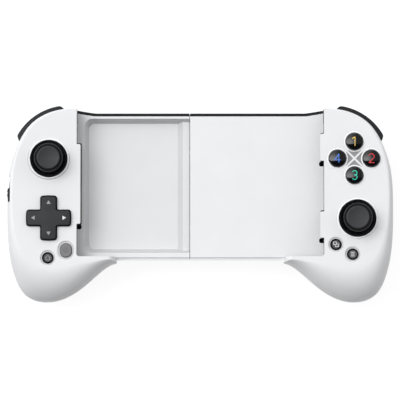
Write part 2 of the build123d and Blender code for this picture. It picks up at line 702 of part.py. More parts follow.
def build_cover(side):
    """The white half of the bridge: side is 1 for the right, -1 for the left."""
    seam = SEAM_X + side * SEAM_GAP / 2
    end = side * (CRADLE_HALF + BRIDGE_TONGUE)
    cover = along_x(bridge_profile(0, 0), min(seam, end), max(seam, end))
    cover += on_side(flare(BRIDGE_TOP, BASE_TOP, PLATE), side)
    low = BRIDGE_LOW - BRIDGE_DRAFT + BRIDGE_WALL
    top = BRIDGE_TOP - BRIDGE_WALL
    ceiling = PLATE - PLATE_SKIN
    well = POCKET_Z - POCKET_FLOOR
    if side < 0:
        well_end = POCKET_X[0] - 1.6
        cover -= block((-BIG, well_end), (low + BRIDGE_DRAFT, top), (0, ceiling))
        cover -= block((-BIG, BIG), (low + 0.7, top), (0, well))
        cover -= pocket()
        windows = LEFT_LIPS
    else:
        cover -= block((-BIG, BIG), (low + BRIDGE_DRAFT, top), (0, ceiling))
        windows = RIGHT_LIPS
        cover -= socket_cut()
    cover -= tongue_notch(side)
    lowered = block((0, BIG), (-BIG, BIG), (PLATE - TONGUE_DROP, BIG)) - cradle_opening()
    cover -= on_side(lowered, side)
    reach = LIP_REACH + WINDOW_SLIT
    for y_low, y_high in windows:
        x = (CRADLE_HALF - reach, CRADLE_HALF)
        window = block(x, (y_low - WINDOW_BELOW, y_high + WINDOW_SLIT), (ceiling - 1, BIG))
        cover -= on_side(window, side)
    return cover


def tongue_notch(side):
    """What the bridge's tongues leave to the screw bosses."""
    return on_side(block((CRADLE_HALF, BIG), (TONGUE_TOP, BIG), (0, BIG)), side)


def pocket():
    """The camera pocket with its drafted walls, and the ledge beside the seam."""
    mouth = RectangleRounded(POCKET_X[1] - POCKET_X[0], POCKET_Y[1] - POCKET_Y[0], POCKET_CORNER)
    draft = degrees(atan2(POCKET_DRAFT, POCKET_DEPTH))
    cut = extrude(mouth, -POCKET_DEPTH, taper=draft)
    cut = Pos(sum(POCKET_X) / 2, sum(POCKET_Y) / 2, PLATE) * cut
    ledge_x = POCKET_X[1] - POCKET_DRAFT / 2
    ledge_y = (POCKET_Y[0] + LEDGE_INSET, POCKET_Y[1] - LEDGE_INSET)
    return cut + block((ledge_x, SEAM_X + 1), ledge_y, (PLATE - LEDGE_DROP, PLATE + 1))


def socket_cut():
    wide, deep, tall = SOCKET_SIZE
    x = (SOCKET_X - wide / 2 - SEAT, SOCKET_X + wide / 2 + SEAT)
    return block(x, (BRIDGE_TOP + BAND_OUT - deep - SEAT, BIG), (BASE_TOP, BASE_TOP + tall + 2 * SEAT))


def build_socket():
    """A metal socket shell with its tongue, opening on the top edge."""
    wide, deep, tall = SOCKET_SIZE
    wall = 0.35
    shell = extrude(RectangleRounded(wide, tall, tall / 2 - 0.1), deep)
    shell -= Pos(0, 0, 1) * extrude(RectangleRounded(wide - 2 * wall, tall - 2 * wall, tall / 2 - wall - 0.1), deep)
    shell += Pos(0, 0, 0.5) * extrude(Rectangle(wide - 2.4, 0.7), deep - 1.5)
    return Pos(SOCKET_X, BRIDGE_TOP + BAND_OUT - deep, BASE_TOP + SEAT + tall / 2) * Rot(-90, 0, 0) * shell


def build_base(side):
    """The black back of the bridge, with the ribs that guide the carriage and a spring post."""
    seam = SEAM_X + side * SEAM_GAP / 2
    end = side * (CRADLE_HALF + BRIDGE_TONGUE)
    x = (min(seam, end), max(seam, end))
    top = BRIDGE_TOP + BAND_OUT
    low = BRIDGE_LOW - BRIDGE_DRAFT + 0.4
    section = [(low + 1, BACK), (low, BACK + 1), (low, BASE_TOP)]
    section += [(top, BASE_TOP), (top, BACK + 1), (top - 1, BACK)]
    base = along_x(section, *x) - tongue_notch(side)
    wall_end = side * (CRADLE_HALF - SEAT)
    wall_x = (min(seam, wall_end), max(seam, wall_end))
    base += block(wall_x, (BRIDGE_TOP + SEAT, top), (BASE_TOP, BAND_Z))
    base += on_side(flare(top, BACK + 1, BAND_Z), side)
    base -= on_side(flare(BRIDGE_TOP + SEAT, BASE_TOP, BIG), side)
    rib_end = CARRIAGE_X[0] if side < 0 else CARRIAGE_X[1]
    rib_x = (min(seam, rib_end), max(seam, rib_end))
    for y in (CARRIAGE_Y[0] - RUN - RIB_THICK, CARRIAGE_Y[1] + RUN):
        base += block(rib_x, (y, y + RIB_THICK), (BASE_TOP, CARRIAGE_TOP))
    index = 0 if side < 0 else 1
    base += rod(SPRING_ANCHOR[index], SPRING_Y[index], BASE_TOP, CARRIAGE_TOP, SPRING_POST_R)
    if side > 0:
        base -= socket_cut()
    return base


def build_bushes(side):
    """Two guide blocks, each with a square channel round its rail."""
    x = SEAM_X + side * BUSH_OFFSET
    mid = (CARRIAGE_TOP + CARRIAGE_LOW) / 2
    bushes = []
    for y in RAIL_Y:
        solid = block(
            (x - BUSH_SIZE[0] / 2, x + BUSH_SIZE[0] / 2),
            (y - BUSH_SIZE[1] / 2, y + BUSH_SIZE[1] / 2),
            (BASE_TOP, CARRIAGE_TOP),
        )
        half = RAIL_R + SEAT
        bushes.append(solid - block((-BIG, BIG), (y - half, y + half), (mid - half, mid + half)))
    return Compound(children=bushes)


def rails():
    mid = (CARRIAGE_TOP + CARRIAGE_LOW) / 2
    length = CARRIAGE_X[1] - CARRIAGE_X[0]
    x = (CARRIAGE_X[0] + CARRIAGE_X[1]) / 2
    return [Pos(x, y, mid) * Cylinder(RAIL_R, length, rotation=(0, 90, 0)) for y in RAIL_Y]


def build_carriage():
    carriage = block(CARRIAGE_X, CARRIAGE_Y, (CARRIAGE_LOW, CARRIAGE_TOP))
    half = RAIL_SLOT / 2
    for y in RAIL_Y:
        carriage -= block((CARRIAGE_X[0] + 4, CARRIAGE_X[1] - 4), (y - half, y + half), (0, BIG))
    ends = ((-BIG, SPRING_END[0]), (SPRING_END[1], BIG))
    for y, x in zip(SPRING_Y, ends):
        carriage -= block(x, (y - half, y + half), (0, BIG))
    mid = (CARRIAGE_TOP + CARRIAGE_LOW) / 2
    for y in RAIL_Y:
        carriage -= block(CARRIAGE_X, (y - RAIL_R, y + RAIL_R), (mid - RAIL_R, mid + RAIL_R))
    return carriage


def build_spring(index):
    mid = (CARRIAGE_TOP + CARRIAGE_LOW) / 2
    side = -1 if index == 0 else 1
    start = SPRING_ANCHOR[index] - side * (SPRING_POST_R + SEAT)
    end = SPRING_END[index]
    return Pos((start + end) / 2, SPRING_Y[index], mid) * Cylinder(SPRING_R, abs(end - start), rotation=(0, 90, 0))


def build_ribbon():
    """The flexible link between the two boards, folded once."""
    low, high = BASE_TOP + RUN, CARRIAGE_TOP - SEAT
    ribbon = block(RIBBON_X, RIBBON_Y, (low, high))
    inner = (RIBBON_X[0] - 1, RIBBON_X[1] - RIBBON_THICK)
    return ribbon - block(inner, (-BIG, BIG), (low + RIBBON_THICK, high - RIBBON_THICK))


def build_switch():
    half = SWITCH_SIZE[0] / 2
    tall = SWITCH_SIZE[1] / 2
    wall = CRADLE_HALF
    y, z = (SWITCH_Y - half, SWITCH_Y + half), (SWITCH_Z - tall, SWITCH_Z + tall)
    knob = block((wall + SWITCH_FLANGE[0], wall + SWITCH_OUT), y, z)
    for i in range(-2, 3):
        groove = SWITCH_Y + i * half / 3
        knob -= block((wall + SWITCH_OUT - 0.5, BIG), (groove - 0.3, groove + 0.3), (0, BIG))
    flange_x = (wall + SWITCH_FLANGE[0], wall + SWITCH_FLANGE[1])
    knob += block(flange_x, (y[0] - 2, y[1] + 2), (z[0] - 1.5, z[1] + 1.5))
    return left(knob)


def build_screws():
    screws = []
    for x, y, seat in SCREWS:
        shank = Pos(0, 0, seat) * screw_shank(SCREW_END - seat, 0)
        head = Pos(0, 0, seat - 1.8) * extrude(RegularPolygon(SCREW_HEAD_R, 12), 1.8)
        screws.append(Pos(CRADLE_HALF + x, y, 0) * (head + shank))
    return Compound(children=screws)


def build_battery():
    x, y, thick = BATTERY
    return left(Pos(CRADLE_HALF, 0, 0) * block(x, y, (REAR_SKIN + SEAT, REAR_SKIN + SEAT + thick)))


def build_parts():
    rear, board, screws = build_rear_shell(), build_board(), build_screws()
    bumper, trigger, pins = build_bumper(), build_trigger(), build_shoulder_pins()
    home_x, home_y = across(HOME)
    nodes = {
        "left_front_shell": build_left_front(),
        "right_front_shell": build_right_front(),
        "left_rear_shell": left(rear),
        "right_rear_shell": rear,
        "left_bridge_cover": build_cover(-1),
        "right_bridge_cover": build_cover(1),
        "left_bridge_base": build_base(-1),
        "right_bridge_base": build_base(1),
        "left_rail_bushes": build_bushes(-1),
        "right_rail_bushes": build_bushes(1),
        "left_slide_spring": build_spring(0),
        "right_slide_spring": build_spring(1),
        "slide_carriage": build_carriage(),
        "guide_rails": Compound(children=rails()),
        "link_ribbon": build_ribbon(),
        "left_circuit_board": left(board),
        "right_circuit_board": board,
        "left_membrane": build_left_membrane(),
        "right_membrane": build_right_membrane(),
        "battery": build_battery(),
        "charging_socket": build_socket(),
        "left_screws": left(screws),
        "right_screws": screws,
        "left_bumper": left(bumper),
        "right_bumper": bumper,
        "left_trigger": left(trigger),
        "right_trigger": trigger,
        "left_shoulder_pins": left(pins),
        "right_shoulder_pins": pins,
        "dpad": build_dpad(),
        "dpad_pivot": build_dpad_pivot(),
        "dpad_post": build_dpad_post(),
        "home_button": build_round_button((-home_x, home_y), SMALL_R, SMALL_PROUD, SMALL_BEVEL, SMALL_FOOT),
        "capture_button": build_capture_button(),
        "select_button": build_round_button(across(SELECT), SMALL_R, SMALL_PROUD, SMALL_BEVEL, SMALL_FOOT),
        "menu_button": build_round_button(across(MENU), SMALL_R, SMALL_PROUD, SMALL_BEVEL, SMALL_FOOT),
        "power_switch": build_switch(),
    }
    for name, place in zip(("top", "right", "bottom", "left"), key_places()):
        nodes[f"{name}_key"] = build_round_button(place, KEY_R, KEY_PROUD, KEY_BEVEL, KEY_FOOT)
    stick = {
        "collar": build_collar(),
        "block": build_stick_block(),
        "yoke": build_yoke(),
        "rocker": build_rocker(),
        "cap": build_cap(),
    }
    for piece, shape in stick.items():
        nodes[f"left_stick_{piece}"] = left(stick_at(LEFT_STICK) * shape)
        nodes[f"right_stick_{piece}"] = stick_at(RIGHT_STICK) * shape
    return nodes


os.makedirs("parts", exist_ok=True)
for name, shape in build_parts().items():
    export_step(shape, f"parts/{name}.step")
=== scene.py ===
from math import atan2, cos, hypot, pi, radians, sin, sqrt

import bmesh
import bpy
import numpy as np
from mathutils import Matrix, Vector


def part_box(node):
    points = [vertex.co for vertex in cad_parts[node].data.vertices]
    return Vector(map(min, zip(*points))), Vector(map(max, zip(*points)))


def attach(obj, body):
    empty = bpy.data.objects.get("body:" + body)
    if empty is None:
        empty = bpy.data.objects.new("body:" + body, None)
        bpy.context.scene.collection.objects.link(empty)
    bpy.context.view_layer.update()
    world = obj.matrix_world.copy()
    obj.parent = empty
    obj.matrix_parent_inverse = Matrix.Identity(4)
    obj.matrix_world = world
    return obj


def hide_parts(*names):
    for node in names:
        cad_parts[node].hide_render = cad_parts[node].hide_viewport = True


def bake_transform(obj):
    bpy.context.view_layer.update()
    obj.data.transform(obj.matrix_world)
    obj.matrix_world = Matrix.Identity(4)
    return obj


# The looks of a telescopic wireless gamepad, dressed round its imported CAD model.
# Shapes are drawn in millimetres, in the model's own frame, and become metres as they are made.

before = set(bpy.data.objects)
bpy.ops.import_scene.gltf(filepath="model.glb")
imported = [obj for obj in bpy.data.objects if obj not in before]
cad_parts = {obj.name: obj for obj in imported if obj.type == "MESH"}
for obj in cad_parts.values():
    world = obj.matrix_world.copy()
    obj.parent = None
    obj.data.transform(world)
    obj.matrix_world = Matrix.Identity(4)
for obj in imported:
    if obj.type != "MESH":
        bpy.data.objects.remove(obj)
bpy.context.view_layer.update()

MM = 0.001

# Past every part, how deep joined solids overlap, how near points merge, and the sides of a round cut
FAR = 300.0
OVERLAP = 0.01
WELD = 1e-5
ROD_SIDES = 72

# What counts as lying on a plane, and as facing along an axis
HAIR = 0.05
FACING = 0.9
NEARLY_LEVEL = 0.93
LEVEL = 0.96

# Levels and places, as in the model
REAR_DEPTH = 17.0
FRONT_DEPTH = 19.0
FACE = REAR_DEPTH + FRONT_DEPTH
FACE_SKIN = 2.2
SKIN_UNDER = FACE - FACE_SKIN
PLATE = FACE - 11.5
PLATE_SKIN = 2.0
POCKET_DEPTH = 5.0
POCKET_FLOOR = 1.5
BASE_TOP = 13.4
BASE_SKIN = 1.9
CRADLE_HALF = 71.2
CRADLE_CORNER = 1.6
BRIDGE_TOP = 51.0
BRIDGE_LOW = -30.7
BRIDGE_DRAFT = 1.0
BRIDGE_FOOT = BRIDGE_LOW - BRIDGE_DRAFT
BRIDGE_WALL = 2.0
BRIDGE_TONGUE = 4.8
TONGUE_TOP = 46.5
TONGUE_DROP = 0.3
SEAM_X = -6.1
SEAM_GAP = 0.3
SEAT = 0.1
BAND_OUT = 2.2
FLARE = 10.6
FLARE_RISE = 1.7
POCKET_X = (-66.9, -13.05)
LEDGE_X = -10.1
LEDGE_DROP = 3.1
POCKET_Y = (-28.1, 49.7)
POCKET_DRAFT = 2.45
POCKET_CORNERS = (4.4, 3.2)
POCKET_WALL_THICK = 1.6
WINDOW_BELOW = 2.4
WINDOW_ABOVE = 1.5
WINDOW_SLIT = 0.4
WINDOW_CORNER = 0.9
EDGE_LEDGE = 1.6
EDGE_LEDGE_END = CRADLE_HALF - 21.5
RIBBON_THICK = 0.4
RIBBON_HELD = 3.0
SWITCH_Y = 5.7
SWITCH_Z = FACE - 12.0
SWITCH_HOLE_X = CRADLE_HALF + 32.0
SWITCH_HOLE_Y = (SWITCH_Y - 7.3, SWITCH_Y + 4.3)
SWITCH_HOLE_Z = (SWITCH_Z - 1.8, SWITCH_Z + 1.8)
LIP_REACH = 2.2
LIP_THICK = 2.0
LIP_CORNER = 0.8
LEFT_LIPS = [(-12.0, 34.0)]
RIGHT_LIPS = [(-20.0, -4.9), (24.4, 39.9)]
LEFT_STICK = (-CRADLE_HALF - 16.0, 25.5)
RIGHT_STICK = (CRADLE_HALF + 19.2, -8.8)
DPAD = (-CRADLE_HALF - 16.0, -8.7)
CLUSTER = (CRADLE_HALF + 17.5, 25.65)
CLUSTER_PITCH = 9.75
HOME = (-CRADLE_HALF - 16.5, -31.6)
CAPTURE = (-CRADLE_HALF - 6.1, -27.3)
SELECT = (CRADLE_HALF + 6.7, -23.9)
MENU = (CRADLE_HALF + 16.3, -29.5)

# Openings in the faces: the white ring's groove, the keys' dips, and the recesses of the small buttons
CLEAR = 5.0
STICK_HOLE_R = 11.5
GROOVE_R = 12.1
GROOVE_DEPTH = 0.35
WEB_DEPTH = 0.35
WEB_TIP = 0.8
WEB_RIM = 5.95
WEB_SAG = 0.4
WEB_SPREAD = 44.0
RECESS_R = 4.2
RECESS_LEAN = 0.3
RECESS_DEPTH = 0.6
GRIP_WALL = 2.6

# Controls: sizes of the pieces and of their holes. A cross is span, arm, corner, inner corner and bow.
STICK_RISE = 9.5
STICK_TEETH = 54
TOOTH_DEPTH = 0.6
TEETH_R = (7.2, 8.2)
TOOTH_TIP_R = (7.4, 7.95)
THUMB_DISH_R = 6.45
THUMB_SIDE_R = 8.26
KEY_R = 5.02
KEY_HOLE_R = 5.25
KEY_RISE = 2.2
KEY_DOME_R = 4.5
KEY_SAG = 0.9
KEY_SAG_R = 4.7
KEY_DIGIT = 5.0
KEY_STROKE = 0.34
BUTTON_FOOT = SKIN_UNDER - 1.3
DPAD_SIZE = (25.1, 9.1, 1.5, 0.9, 0.25)
DPAD_HOLE = (25.9, 9.85, 1.7, 0.7, 0.2)
DPAD_RISE = 2.2
DPAD_FOOT = SKIN_UNDER - 1.0
DPAD_ROUND = 0.7
SMALL_R = 3.2
SMALL_HOLE_R = 3.35
SMALL_RISE = 0.5
DISC_RISE = 0.28
DISC_INSET = 0.87
CAPTURE_SIZE = (6.7, 8.1)
CAPTURE_HOLE = (7.0, 8.4)
CAPTURE_RECESS = (9.6, 11.0)
CAPTURE_STROKE = 0.16
CAPTURE_ROUND = 0.45
ICON = 3.0

# The grip's stations, measured from the clamping wall: the face's edge, the widest line, the share of the
# front's depth that is round, and the back's edge
STATIONS = [
    ((-5.2, 53.6), (-5.2, 54.5), 0.08, (5.0, 40.0)),
    ((6.3, 53.5), (6.7, 54.4), 0.08, (8.0, 41.0)),
    ((14.4, 51.4), (15.3, 52.5), 0.08, (12.0, 40.0)),
    ((25.4, 44.0), (26.8, 45.2), 0.08, (18.0, 35.0)),
    ((30.4, 36.6), (32.2, 37.4), 0.10, (20.5, 31.0)),
    ((36.0, 18.5), (38.6, 18.9), 0.24, (23.0, 15.0)),
    ((36.8, 4.0), (39.8, 4.0), 0.32, (23.5, 3.0)),
    ((36.0, -11.0), (39.9, -12.0), 0.44, (23.3, -9.0)),
    ((33.3, -22.0), (39.0, -27.0), 0.55, (22.5, -17.0)),
    ((28.5, -31.5), (36.1, -41.0), 0.74, (20.5, -24.5)),
    ((22.0, -35.8), (29.6, -52.4), 0.90, (18.0, -29.5)),
    ((15.0, -36.9), (19.0, -56.3), 0.97, (14.5, -32.0)),
    ((6.5, -36.3), (6.5, -53.9), 0.93, (11.0, -31.0)),
    ((-2.2, -34.6), (-5.3, -46.2), 0.84, (8.0, -27.0)),
    ((-9.2, -33.4), (-13.6, -38.9), 0.74, (4.0, -22.0)),
    ((-14.2, -32.7), (-18.9, -35.2), 0.58, (0.0, -18.0)),
    ((-18.0, -32.3), (-23.0, -33.7), 0.47, (-3.0, -14.0)),
]
INNER_STATIONS = [
    ((-20.0, -20.0), (-20.0, -20.0), 0.5, (-3.0, -6.0)),
    ((-16.0, 10.0), (-16.0, 10.0), 0.3, (-1.0, 10.0)),
    ((-9.0, 40.0), (-9.0, 40.0), 0.2, (2.0, 28.0)),
]

# The shoulder's arc, and how the bumper lies in it
SHOULDER_START = Vector((CRADLE_HALF + 6.7, 54.3))
SHOULDER_END = Vector((CRADLE_HALF + 33.5, 35.8))
SHOULDER_R = 31.397
BUMPER_OUT = 2.3
BUMPER_IN = 2.8
BUMPER_ROOM = 2.0
BUMPER_GAP = 0.3
BUMPER_ROUND = 0.9
BUMPER_TOP = FACE - 3.0
BUMPER_LOW = BUMPER_TOP - 11.0

# The view, in metres and degrees: what it looks at, from where, and how wide it sees there
VIEW_CENTRE = Vector((-0.0002, 0.00167, FACE * MM))
VIEW_DISTANCE = 2.5
VIEW_ELEVATION = 85.7
VIEW_WIDTH = 0.230
SENSOR = 36.0

# Light: radiance of the parts of the sky, what shiny surfaces see instead, the lamp, and the floor
SKY_DOME = 0.9
SKY_LEFT = 0.7
SKY_DARK = 0.1
SKY_LOW = 0.3
GLOSS_DOME = 0.22
GLOSS_PANEL = 2.3
GLOSS_DARK = 0.03
KEY_LIGHT = 1.15
KEY_FROM = (-0.52, 0.3, 0.8)
KEY_SPREAD = 34.0
FLOOR_HALF = 2.0
FLOOR_LEVEL = -0.0002
FLOOR_TONE = 0.2
FLOOR_GLOW = 0.9

# Where the light's bands begin and end, as parts of a direction's length
LEFT_BAND = (-0.1, 0.55)
HIGH_BAND = (0.2, 0.6)
LOW_BAND = (0.35, 0.8)
VIEWER_BAND = (-0.27, -0.18)
PANEL_BAND = (-0.3, 0.4)
PANEL_FADE = (0.0, 0.6)
PANEL_FADES_BY = 0.75
HORIZON_BAND = (-0.19, -0.11)

# Patterns in the materials, per metre, and the depth of their grain in metres
TONE_SCALE = 55.0
GLOSS_SCALE = 190.0
BUMP_DEPTH = 0.0002
NOISE_SPAN = (0.3, 0.7)


# Materials


def link(tree, a, b):
    tree.links.new(a, b)


def fill(node, sockets):
    """Sets a node's inputs by name, with _ for each blank."""
    for socket, value in sockets.items():
        node.inputs[socket.replace("_", " ")].default_value = value


def add_node(tree, kind, **sockets):
    node = tree.nodes.new(f"ShaderNode{kind}")
    fill(node, sockets)
    return node


def noise(tree, coords, scale, detail=2.0):
    node = add_node(tree, "TexNoise", Scale=scale, Detail=detail)
    link(tree, coords, node.inputs["Vector"])
    return node.outputs["Fac"]


def ranged(tree, value, low, high):
    """The middle part of a noise, spread from low to high."""
    start, end = NOISE_SPAN
    node = add_node(tree, "MapRange", From_Min=start, From_Max=end, To_Min=low, To_Max=high)
    link(tree, value, node.inputs["Value"])
    return node.outputs["Result"]


def maths(tree, operation, a, b):
    """A math node's output; a and b are sockets or numbers."""
    node = add_node(tree, "Math")
    node.operation = operation
    for value, socket in zip((a, b), node.inputs):
        if isinstance(value, (int, float)):
            socket.default_value = value
        else:
            link(tree, value, socket)
    return node.outputs[0]


def soft_step(tree, value, low, high):
    """Rises smoothly from 0 to 1 as the value goes from low to high."""
    node = add_node(tree, "MapRange", From_Min=low, From_Max=high)
    node.interpolation_type = "SMOOTHSTEP"
    link(tree, value, node.inputs["Value"])
    return node.outputs["Result"]


def new_tree(data):
    """The node tree of a new material or world."""
    data.use_nodes = True
    return data.node_tree


def make_material(name, colour, roughness, grain=2600.0, bump=0.08, tint=0.025, rough_spread=0.06,
                  **sockets):
    """A moulded finish: slow drifts of tone and gloss, and a fine grain. grain counts per metre."""
    material = bpy.data.materials.new(name)
    tree = new_tree(material)
    shader = tree.nodes["Principled BSDF"]
    coords = add_node(tree, "TexCoord").outputs["Object"]
    mix = add_node(tree, "Mix")
    mix.data_type = "RGBA"
    mix.inputs["A"].default_value = [c * (1 - tint) for c in colour] + [1]
    mix.inputs["B"].default_value = [min(1, c * (1 + tint)) for c in colour] + [1]
    link(tree, ranged(tree, noise(tree, coords, TONE_SCALE), 0, 1), mix.inputs["Factor"])
    link(tree, mix.outputs["Result"], shader.inputs["Base Color"])
    drift = noise(tree, coords, GLOSS_SCALE, 4.0)
    spread = ranged(tree, drift, roughness - rough_spread, roughness + rough_spread)
    link(tree, spread, shader.inputs["Roughness"])
    bumps = add_node(tree, "Bump", Strength=bump, Distance=BUMP_DEPTH)
    link(tree, noise(tree, coords, grain, 3.0), bumps.inputs["Height"])
    link(tree, bumps.outputs["Normal"], shader.inputs["Normal"])
    fill(shader, sockets)
    return material


WHITE = make_material("white_plastic", (0.80, 0.805, 0.82), 0.36, bump=0.05, tint=0.012)
# Painted shade: a grey for the pocket's sloping walls, darker than the white they are made of
POCKET_WALL_SHADE = make_material("pocket_wall_painted_shade", (0.575, 0.58, 0.595), 0.4, bump=0.05, tint=0.012)
# Painted shade: a slightly greyer white for the pocket's floor, which lies in the shade of its walls
POCKET_FLOOR_SHADE = make_material("pocket_floor_painted_shade", (0.745, 0.75, 0.767), 0.38, bump=0.05, tint=0.012)
# Painted highlight: a brighter white than the face, for narrow raised rings that catch the light
WHITE_HIGHLIGHT = make_material("white_painted_highlight", (0.97, 0.973, 0.98), 0.3, bump=0.03, tint=0.01)
# A grey for the floors of the small buttons' recesses: partly their own grey, partly painted shade in the
# recess
RECESS_GREY_AND_SHADE = make_material("recess_grey_and_shade", (0.66, 0.66, 0.67), 0.5)
WEB_GREY = make_material("web_grey", (0.31, 0.31, 0.32), 0.5, grain=3400.0, bump=0.5, tint=0.12)
BLACK = make_material("black_plastic", (0.008, 0.008, 0.009), 0.45, bump=0.15, Specular_IOR_Level=0.3)
# Deep black: the own black of the button rims and the stick's lining, and painted shade on the sides of the
# pad, bumpers and thumb caps
DEEP_BLACK_AND_SHADE = make_material("deep_black_and_painted_shade", (0.003, 0.003, 0.003), 0.6, bump=0.1, Specular_IOR_Level=0.15)
TRIM = make_material("dark_trim", (0.011, 0.012, 0.014), 0.36, bump=0.12, Specular_IOR_Level=0.42)
DPAD_DARK = make_material("pad_plastic", (0.028, 0.029, 0.032), 0.46, bump=0.15, Specular_IOR_Level=0.45)
GLOSS_BLACK = make_material("gloss_key", (0.002, 0.002, 0.003), 0.025, bump=0.01, rough_spread=0.01,
                            Specular_IOR_Level=1.0)
RUBBER = make_material("thumb_rubber", (0.042, 0.043, 0.047), 0.55, grain=4200.0, bump=0.35,
                       Specular_IOR_Level=0.45)
# Painted shade: a darker rubber for the groove and teeth round the cap's dish
KNURL_SHADE = make_material("knurl_painted_shade", (0.006, 0.006, 0.007), 0.5, grain=4200.0, bump=0.3)
# Painted highlight: a lighter rubber for the tips of the cap's teeth
KNURL_TIP_HIGHLIGHT = make_material("knurl_tip_painted_highlight", (0.035, 0.035, 0.038), 0.55)
DISC = make_material("button_centre", (0.075, 0.075, 0.08), 0.42)
OVAL_GREY = make_material("oval_grey", (0.2, 0.2, 0.21), 0.42)
# Painted shade: a darker grey for the oval button's rounded edge
OVAL_EDGE_SHADE = make_material("oval_edge_painted_shade", (0.09, 0.09, 0.095), 0.4)
MARK_GREY = make_material("mark_grey", (0.36, 0.36, 0.37), 0.5)
MARK_WHITE = make_material("mark_white", (0.86, 0.86, 0.86), 0.45)
# Painted highlight and painted shade for the d-pad's arrows, which share one grey
ARROW_HIGHLIGHT = make_material("arrow_painted_highlight", (0.75, 0.75, 0.75), 0.45)
ARROW_SHADE = make_material("arrow_painted_shade", (0.33, 0.33, 0.335), 0.45)
MARK_DIM = make_material("mark_dim", (0.1, 0.1, 0.105), 0.45)
YELLOW = make_material("mark_yellow", (0.92, 0.62, 0.13), 0.35)
BLUE = make_material("mark_blue", (0.1, 0.26, 0.85), 0.35)
RED = make_material("mark_red", (0.8, 0.05, 0.06), 0.35)
TEAL = make_material("mark_teal", (0.05, 0.7, 0.5), 0.35)
# A dark facing for the frame's walls: partly a guessed pad, partly painted shade that also darkens the plate
# beside them
FRAME_FACING_AND_SHADE = make_material("frame_facing_and_painted_shade", (0.07, 0.07, 0.073), 0.6)
STEEL = make_material("steel", (0.55, 0.55, 0.57), 0.3, grain=900.0, Metallic=1.0)
SCREW = make_material("black_steel", (0.035, 0.035, 0.038), 0.4, grain=900.0, Metallic=1.0)
ACETAL = make_material("acetal", (0.72, 0.71, 0.68), 0.45)
BOARD = make_material("board", (0.02, 0.12, 0.06), 0.45)
PAD = make_material("membrane", (0.42, 0.42, 0.44), 0.6)
CELL = make_material("cell", (0.2, 0.21, 0.23), 0.35)
FLEX = make_material("flex", (0.06, 0.035, 0.02), 0.35)


# Meshes


def mesh_of(verts, faces):
    mesh = bpy.data.meshes.new("draft")
    mesh.from_pydata([tuple(v) for v in verts], [], faces)
    return mesh


def closed(mesh):
    """The mesh with its doubled points merged and all its faces turned outwards."""
    work = bmesh.new()
    work.from_mesh(mesh)
    bmesh.ops.remove_doubles(work, verts=work.verts, dist=WELD)
    bmesh.ops.recalc_face_normals(work, faces=work.faces)
    work.to_mesh(mesh)
    work.free()
    return mesh


def prism(points, low, high):
    n = len(points)
    verts = [(x, y, low) for x, y in points] + [(x, y, high) for x, y in points]
    faces = [[(i + 1) % n, i, n + i, n + (i + 1) % n] for i in range(n)]
    return closed(mesh_of(verts, faces + [list(range(n)), list(range(2 * n - 1, n - 1, -1))]))


def block(x, y, z):
    return prism([(x[0], y[0]), (x[1], y[0]), (x[1], y[1]), (x[0], y[1])], *z)


def rod(centre, radius, low, high):
    turns = [2 * pi * i / ROD_SIDES for i in range(ROD_SIDES)]
    return prism([(centre[0] + radius * cos(a), centre[1] + radius * sin(a)) for a in turns], low, high)


def slot_outline(centre, wide, tall, steps=18):
    """An upright slot with round ends."""
    r = wide / 2
    rise = tall / 2 - r
    points = []
    for lift, start in ((rise, 0), (-rise, pi)):
        for i in range(steps + 1):
            a = start + pi * i / steps
            points.append((centre[0] + r * cos(a), centre[1] + lift + r * sin(a)))
    return points


def loft(rings):
    """A closed solid through rings of equal length, capped at both ends."""
    n = len(rings[0])
    verts = [p for ring in rings for p in ring]
    faces = []
    for k in range(len(rings) - 1):
        for i in range(n):
            j = (i + 1) % n
            faces.append([k * n + i, k * n + j, (k + 1) * n + j, (k + 1) * n + i])
    last = (len(rings) - 1) * n
    return closed(mesh_of(verts, faces + [list(range(n)), [last + i for i in range(n)]]))


def lathe(profile, centre, sides=96, warp=None):
    """A turned piece from (radius, height) points: from axis to axis, or else a ring. warp moves them."""
    from_axis = profile[0][0] == 0
    verts, rows = [], []
    for r, z in profile:
        row = []
        for i in range(1 if r == 0 else sides):
            angle = 2 * pi * i / sides
            radius, height = warp(r, z, angle) if warp else (r, z)
            row.append(len(verts))
            verts.append((centre[0] + radius * cos(angle), centre[1] + radius * sin(angle), height))
        rows.append(row)
    pairs = list(zip(rows, rows[1:]))
    if not from_axis:
        pairs.append((rows[-1], rows[0]))
    faces = []
    for a, b in pairs:
        for i in range(sides):
            j = (i + 1) % sides
            quad = [a[i % len(a)], a[j % len(a)], b[j % len(b)], b[i % len(b)]]
            faces.append(list(dict.fromkeys(quad)))
    return closed(mesh_of(verts, faces))


def staged(name, data):
    """An object with this data, in the scene."""
    obj = bpy.data.objects.new(name, data)
    bpy.context.scene.collection.objects.link(obj)
    return obj


def evaluated(obj):
    """The mesh that an object's modifiers, or a curve's settings, give."""
    bpy.context.view_layer.update()
    depsgraph = bpy.context.evaluated_depsgraph_get()
    return bpy.data.meshes.new_from_object(obj.evaluated_get(depsgraph))


def carved(base, cutters, additions=()):
    """The base with the additions joined to it and the cutters taken out."""
    obj = staged("draft", base)
    used, groups = [obj], []
    for operation, meshes in (("UNION", additions), ("DIFFERENCE", cutters)):
        if not meshes:
            continue
        group = bpy.data.collections.new("operands")
        bpy.context.scene.collection.children.link(group)
        groups.append(group)
        for mesh in meshes:
            operand = bpy.data.objects.new("operand", mesh)
            group.objects.link(operand)
            used.append(operand)
        modifier = obj.modifiers.new("cut", "BOOLEAN")
        modifier.operation = operation
        modifier.operand_type = "COLLECTION"
        modifier.collection = group
        modifier.solver = "EXACT"
    result = evaluated(obj)
    for each in used:
        bpy.data.objects.remove(each)
    for group in groups:
        bpy.data.collections.remove(group)
    result.materials.clear()
    return result


